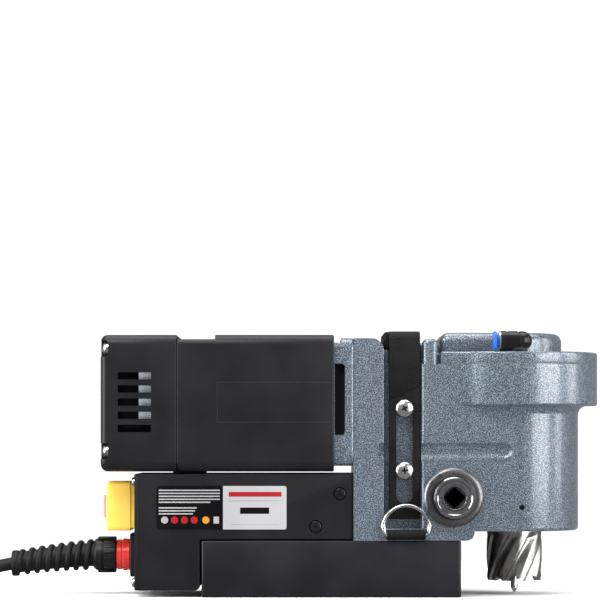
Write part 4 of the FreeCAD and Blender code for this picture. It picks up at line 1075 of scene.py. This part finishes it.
def addFlange():
    f = flangeFacts
    axis = motorFacts["axis"]
    plate = addBlock("motorFlange", f["low"], f["high"])
    roundEdges(plate, 0.0065, 6, lambda e: edgeRuns(e, "x"))
    roundEdges(plate, 0.0012, 3, lambda e: edgeMiddle(e).x > 0.014)
    tools = [addBlock("lip", (0.001, -0.044, 0.1626), (0.0065, 0.044, 0.167)),
             addRod("seat", (0.004, 0, axis), "x", 0.011, 0.013, 48),
             addRod("way", (0.0, 0, axis), "x", 0.015, 0.008, 48)]
    for side in (-1, 1):
        low, high = spanAt(side, 0.036, 0.044)
        slot = addBlock("exhaust", (f["slotLeft"], low, f["slotLow"]), (f["slotRight"], high, f["slotHigh"]))
        tools.append(roundEdges(slot, 0.0022, 4, lambda e: edgeRuns(e, "y") and edgeMiddle(e).x > 0.008))
    combine("DIFFERENCE", plate, *tools)
    parts = [paint(plate, "hammered")]
    # a near-black sheet in each exhaust slot is painted shade, where the opening into the motor goes dark
    for side in (-1, 1):
        low, high = spanAt(side, 0.0362, 0.0372)
        parts.append(paint(addBlock("slotShadeSheet", (0.0023, low, 0.1037), (0.0086, high, 0.1491)), "paintedShade"))
    plate = joinAll("motorFlange", parts)
    finishPiece(plate, None, "frame", ["motor_flange"], 32)
    print("motor flange made")


strapFacts = {"left": 0.0368, "right": 0.0568, "inner": 0.0372, "outer": 0.0404, "top": 0.170, "low": 0.0498,
              "slotHalf": 0.0053, "slotLow": 0.060, "slotHigh": 0.125,
              "screws": ((0.1206, 0.5), (0.0808, 0.15))}


def addStrap():
    f = strapFacts
    outer, inner, bend = f["outer"], f["inner"], 0.0058
    rim = [(-outer, f["low"])] + arc((-outer + bend, f["top"] - bend), bend, 180, 90, 8)
    rim += arc((outer - bend, f["top"] - bend), bend, 90, 0, 8) + [(outer, f["low"]), (inner, f["low"])]
    thin = bend - (outer - inner)
    rim += arc((inner - thin, f["top"] - bend), thin, 0, 90, 8)
    rim += arc((-inner + thin, f["top"] - bend), thin, 90, 180, 8) + [(-inner, f["low"])]
    hoop = addPrism("strapHoop", rim, "x", f["left"], f["right"])
    roundEdges(hoop, 0.0007, 3, lambda e: not edgeRuns(e, "x"))
    middle = (f["left"] + f["right"]) / 2
    tools = []
    for side in (-1, 1):
        near, far = spanAt(side, 0.036, 0.042)
        low, high = f["slotLow"] + f["slotHalf"], f["slotHigh"] - f["slotHalf"]
        slot = arc((middle, high), f["slotHalf"], 0, 180, 17)
        slot += arc((middle, low), f["slotHalf"], 180, 360, 17)
        tools.append(addPrism("slot", slot, "y", near, far))
    combine("DIFFERENCE", hoop, *tools)
    # the thicker upper layer ends in a slanted seam on both faces, and a roll pads the hand hold
    parts = [hoop]
    for side in (-1, 1):
        near, far = spanAt(side, outer - 0.0008, outer + 0.0007)
        flap = addPrism("flap", [(f["left"] + 0.0002, 0.1262), (f["right"] - 0.0002, 0.1350),
                                 (f["right"] - 0.0002, 0.1640), (f["left"] + 0.0002, 0.1640)], "y", near, far)
        parts.append(roundEdges(flap, 0.0005, 2, everyEdge))
        for z in (0.0, 0.0016):
            seam = addBlock("seam", (-0.0098, -0.0002, -0.00018), (0.0098, 0.0002, 0.00018))
            lean = Matrix.Rotation(-0.4145, 4, "Y")
            seam.data.transform(Matrix.Translation((middle, side * (outer + 0.0007), 0.1330 + z)) @ lean)
            parts.append(seam)
    roll = addBlock("roll", (0.0338, -0.0335, 0.1585), (0.0372, 0.0335, 0.1698))
    parts.append(roundEdges(roll, 0.0015, 4, lambda e: edgeMiddle(e).x < 0.035 or edgeRuns(e, "x")))
    strap = joinAll("carryStrap", parts)
    finishPiece(strap, look["strap"], "strap", ["carry_strap"], 40)
    for node, side in (("strap_screws_front", -1), ("strap_screws_rear", 1)):
        screws = []
        for z, roll in f["screws"]:
            screws.append(addPanScrew((middle, side * 0.0408, z), (0, side, 0), 0.0058, 0.0033,
                                      0.0037, 0.0066, "chrome", roll))
            screws.append(paint(addRod("washer", (middle, side * 0.0405, z), "y", side * 0.0005, 0.0058, 48,
                                       0.0001), "chrome"))
        name = "strapScrewsFront" if side < 0 else "strapScrewsRear"
        finishPiece(joinAll(name, screws), None, "frame", [node])
    print("strap made")


ringFacts = {"middle": 0.0478, "front": -0.0454, "barZ": 0.0398, "wire": 0.00135, "bowZ": 0.04353,
             "bow": 0.01497, "foot": 0.0140, "corner": 0.0020}


def addRing():
    # a bent wire: a straight bar, two round corners and a bow above
    r = ringFacts
    middle, inset = r["middle"], r["foot"] - r["corner"]
    path = arc((middle, r["bowZ"]), r["bow"], 8.7, 171.3, 30)
    path += arc((middle - inset, r["barZ"] + r["corner"]), r["corner"], 184, 270, 7)
    path += arc((middle + inset, r["barZ"] + r["corner"]), r["corner"], 270, 356, 7)
    ring = addWire("liftingRing", [(x, r["front"], z) for x, z in path], r["wire"], 6, True)
    finishPiece(ring, look["chrome"], "ring", ["lifting_ring"], 60)
    print("lifting ring made")


feedFacts = {"x": 0.0779, "z": 0.0638, "square": 0.009525, "notches": (2.15, 2.55, 3.6)}


def addFeed():
    f = feedFacts
    for side, node, name in ((-1, "feed_hub_front", "feedHubFront"), (1, "feed_hub_rear", "feedHubRear")):
        outline = [(0, 0), (0.0118, 0), (0.0118, 0.0006), (0.0132, 0.0012), (0.0132, 0.0148),
                   (0.0124, 0.0158), (0.0112, 0.0159), (0.0104, 0.0152), (0.0086, 0.0152),
                   (0.0080, 0.0160), (0.0073, 0.0160), (0.0061, 0.0148), (0, 0.0148)]
        hub = addTurned(name, (0, 0, 0), "z", outline, 96)
        half = f["square"] / 2
        square = addBlock("square", (-half, -half, 0.004), (half, half, 0.020))
        bore = addRod("shaftWay", (0, 0, -0.001), "z", 0.0050, 0.00802, 48)
        dropPick()
        bpy.ops.mesh.primitive_cone_add(vertices=4, radius1=half * 1.2, radius2=half * 2.1, depth=0.0035,
                                        location=(0, 0, 0.0142), rotation=(0, 0, math.pi / 4))
        combine("DIFFERENCE", hub, square, bore, bakePlace(bpy.context.object))
        turnedTo(hub, (f["x"], side * 0.046, f["z"]), (0, side, 0), math.radians(45))
        finishPiece(hub, look["gun"], "feed", [node], 25)
    rings = []
    for side in (-1, 1):
        outline = [(0.0135, 0.0045), (0.0142, 0.0049), (0.0172, 0.0049), (0.0180, 0.0045), (0.0188, 0.0036),
                   (0.0188, 0.0002), (0.01805, 0.0002), (0.01805, -0.0290), (0.00805, -0.0290),
                   (0.00805, 0.0030), (0.0135, 0.0030), (0.0135, 0.0045)]
        ring = addTurned("ring", (0, 0, 0), "z", outline, 96)
        notches = []
        for turn in f["notches"]:
            notch = addBlock("notch", (0.0152, -0.0010, 0.0036), (0.0176, 0.0010, 0.006))
            notch.data.transform(Matrix.Rotation(-side * turn, 4, "Z"))
            notches.append(notch)
        combine("DIFFERENCE", ring, *notches)
        turnedTo(ring, (f["x"], side * 0.042, f["z"]), (0, side, 0))
        rings.append(ring)
    ring = joinAll("feedRings", rings)
    combine("DIFFERENCE", ring, addRod("quillWay", (0.120, 0, 0.03), "z", 0.07, 0.0284, 128))
    finishPiece(ring, look["ground"], "frame", ["feed_bushes"], 30)
    print("feed made")


coolantFacts = {"y": -0.048, "z": 0.1634, "kneeX": 0.1215, "stemX": 0.1195, "bend": 0.0062}


def addCoolant():
    f = coolantFacts
    y, z, bend, kneeX = f["y"], f["z"], f["bend"], f["kneeX"]
    outline = [(0.0041, 0.1076), (0.0060, 0.1076), (0.0064, 0.1080), (0.0064, 0.1112), (0.0060, 0.1115),
               (0.0060, 0.1121), (0.0063, 0.1124), (0.0063, 0.1182), (0.0058, 0.1186), (0.0058, 0.1194),
               (bend, 0.1198), (bend, kneeX)]
    outline += [(bend * math.cos(t), kneeX + bend * math.sin(t)) for t in (0.3, 0.6, 0.9, 1.2, 1.45)]
    outline += [(0.0, 0.1277), (0.0, 0.1165), (0.0041, 0.1165), (0.0041, 0.1076)]
    body = addTurned("coolantElbow", (0, y, z), "x", outline, 64)
    stem = addRod("stem", (f["stemX"], y, 0.1569), "z", 0.0062, 0.0050, 48)
    nut = addRod("stemNut", (f["stemX"], y, 0.1570), "z", 0.0022, 0.0060, 6, 0.0003)
    body = paint(joinAll("coolantElbow", [body, stem]), "gloss")
    metal = addTurned("collar", (0, y, z), "x", [(0.0062, 0.1067), (0.0062, 0.1076), (0.0045, 0.1076),
                                                 (0.0045, 0.1067), (0.0062, 0.1067)], 64)
    parts = [body, paint(metal, "chrome"), paint(nut, "gloss")]
    finishPiece(joinAll("coolantElbow", parts), None, "frame", ["coolant_elbow"])
    outline = [(0.00305, 0.1028), (0.0056, 0.1028), (0.0061, 0.1033), (0.0061, 0.1048), (0.0050, 0.1053),
               (0.0039, 0.1053), (0.0039, 0.112), (0.00305, 0.112), (0.00305, 0.1028)]
    ring = addTurned("releaseRing", (0, y, z), "x", outline, 64)
    finishPiece(ring, look["blue"], "release", ["release_ring"])
    print("coolant elbow made")


cutterFacts = {"x": 0.120, "low": 0.009, "high": 0.0437, "radius": 0.018, "hollow": 0.0136, "teeth": 8,
               "twist": 66}


def addCutter():
    f = cutterFacts
    rings, perTooth = 26, 14
    sides = f["teeth"] * perTooth
    dropPick()
    bpy.ops.mesh.primitive_cylinder_add(vertices=sides, radius=1, depth=1, end_fill_type="NGON")
    body = bpy.context.object
    body.name = "annularCutter"
    pickParts(body, "EDGE", lambda e: edgeRuns(e, "z"))
    bpy.ops.mesh.subdivide(number_cuts=rings - 1)
    leaveEdit()
    depth = (0, 0, 0, 0, 0, 0.0003, 0.0021, 0.0023, 0.0022, 0.0019, 0.0015, 0.0010, 0.0005, 0.0001)
    tall = f["high"] - f["low"]
    for vertex in body.data.vertices:
        up = vertex.co.z + 0.5
        angle = math.atan2(vertex.co.y, vertex.co.x) % (2 * math.pi)
        spot = round(angle / (2 * math.pi) * sides) % perTooth
        fade = min(1.0, max(0.0, (0.90 - up) / 0.08))
        radius = f["radius"] - depth[spot] * fade
        turn = angle + math.radians(f["twist"]) * up
        vertex.co = (radius * math.cos(turn), radius * math.sin(turn), f["low"] + tall * up)
    tools = [addRod("hollow", (0, 0, f["low"] - 0.002), "z", 0.0320, f["hollow"], 96)]
    for n in range(f["teeth"]):
        notch = addPrism("notch", [(-0.0015, 0.0075), (0.0062, 0.0075), (0.0035, 0.0102), (-0.0015, 0.0128)],
                         "x", 0.012, 0.020)
        notch.data.transform(Matrix.Rotation(2 * math.pi * n / f["teeth"], 4, "Z"))
        tools.append(notch)
    combine("DIFFERENCE", body, *tools)
    shank = addTurned("shank", (0, 0, 0), "z",
                      [(0.0033, 0.0430), (0.009525, 0.0430), (0.009525, 0.0679), (0.0088, 0.0687),
                       (0.0033, 0.0687), (0.0033, 0.0430)], 64)
    flats = [addBlock("flat", (0.0086, -0.010, 0.0455), (0.0126, 0.010, 0.0535)),
             addBlock("flat", (-0.0126, -0.010, 0.0455), (-0.0086, 0.010, 0.0535))]
    combine("DIFFERENCE", shank, *flats)
    combine("DIFFERENCE", body, addRod("pinWay", (0, 0, 0), "z", 0.08, 0.00325, 48))
    cutter = joinAll("annularCutter", [body, shank])
    cutter.data.transform(Matrix.Translation((f["x"], 0, 0)))
    finishPiece(cutter, look["flute"], "spindle_group", ["annular_cutter"], 25)
    print("cutter made")


def addShellScrews():
    screws = []
    sunk = coverFacts["high"] - coverFacts["sink"]
    for x, y in coverScrewPlaces():
        screws.append(addSocketScrew((x, y, sunk), (0, 0, 1), 0.0046, 0.0033, 0.0023, 0.0142))
    finishPiece(joinAll("coverScrews", screws), look["dark"], "frame", ["cover_screws"])
    screws = []
    for side, z in rearCorners():
        screws.append(addPanScrew((motorFacts["notchEnd"], side * motorFacts["screwSide"], z), (-1, 0, 0),
                                  0.0045, 0.0041, 0.0021, 0.005, "steel"))
    finishPiece(joinAll("rearScrews", screws), None, "frame", ["rear_cover_screws"])
    print("cover screws made")


plugFacts = {"y": 0.092, "z": 0.0430, "grips": 14, "pinSpan": 0.0095}


def addPlug():
    f = plugFacts
    y, z = f["y"], f["z"]
    outline = [(0.0, -0.3120), (0.0058, -0.3120)]
    for n in range(4):
        x, radius = -0.3112 + 0.0042 * n, 0.0064 + 0.0007 * n
        groove = radius - 0.0010
        outline += [(radius, x), (radius, x + 0.0026), (groove, x + 0.0029), (groove, x + 0.0039)]
    outline += [(0.0105, -0.2945), (0.0150, -0.2925), (0.0172, -0.2890), (0.0176, -0.2640), (0.0180, -0.2600),
                (0.0172, -0.2580), (0.0, -0.2580)]
    body = addTurned("plugBody", (0, y, z), "x", outline, 72)
    grips = addRibs((-0.2870, -0.0008, 0.0168), (-0.2680, 0.0008, 0.0180), 0.0004, (0, y, z),
                    [2 * math.pi * (n + 0.5) / f["grips"] for n in range(f["grips"])])
    body = joinAll("plugBody", [body] + grips)
    finishPiece(body, look["rubber"], "frame", ["plug_body"])
    pins = []
    for offset in (-f["pinSpan"], f["pinSpan"]):
        pins.append(addTurned("pin", (0, y + offset, z), "x",
                              [(0, -0.2582), (0.0024, -0.2582), (0.0024, -0.2402), (0.0018, -0.2392),
                               (0, -0.2390)], 32))
    finishPiece(joinAll("plugPins", pins), look["chrome"], "frame", ["plug_pins"])
    print("plug made")


tieFacts = {"near": -0.3727, "far": -0.3432, "tall": 0.0262}


def addTie():
    # one strap that holds the coil's turns together
    near, far, tall = tieFacts["near"], tieFacts["far"], tieFacts["tall"]
    tie = addBlock("cordTie", (near, 0.0425, 0.0001), (far, 0.0495, tall))
    roundEdges(tie, 0.005, 5, lambda e: edgeRuns(e, "y"))
    hole = addBlock("hole", (near + 0.0010, 0.040, 0.0008), (far - 0.0010, 0.052, tall - 0.0010))
    combine("DIFFERENCE", tie, roundEdges(hole, 0.0045, 5, lambda e: edgeRuns(e, "y")))
    lock = addBlock("lock", (-0.3615, 0.0415, tall - 0.0006), (-0.3555, 0.0505, tall + 0.0020), 0.0006, 2)
    tie = joinAll("cordTie", [tie, lock])
    finishPiece(tie, look["rubber"], "frame", ())
    print("cable tie made")


addCamera()
addLights()
addFloor()
dressKept()
addCasting()
addCover()
addMotorBarrel()
addRearCover()
addFlange()
addMagnet()
addControlBox()
addLabel()
addSwitch()
addInlet()
addStrap()
addRing()
addFeed()
addCoolant()
addCutter()
addShellScrews()
addStrainRelief()
addPlug()
addTie()
addCord()
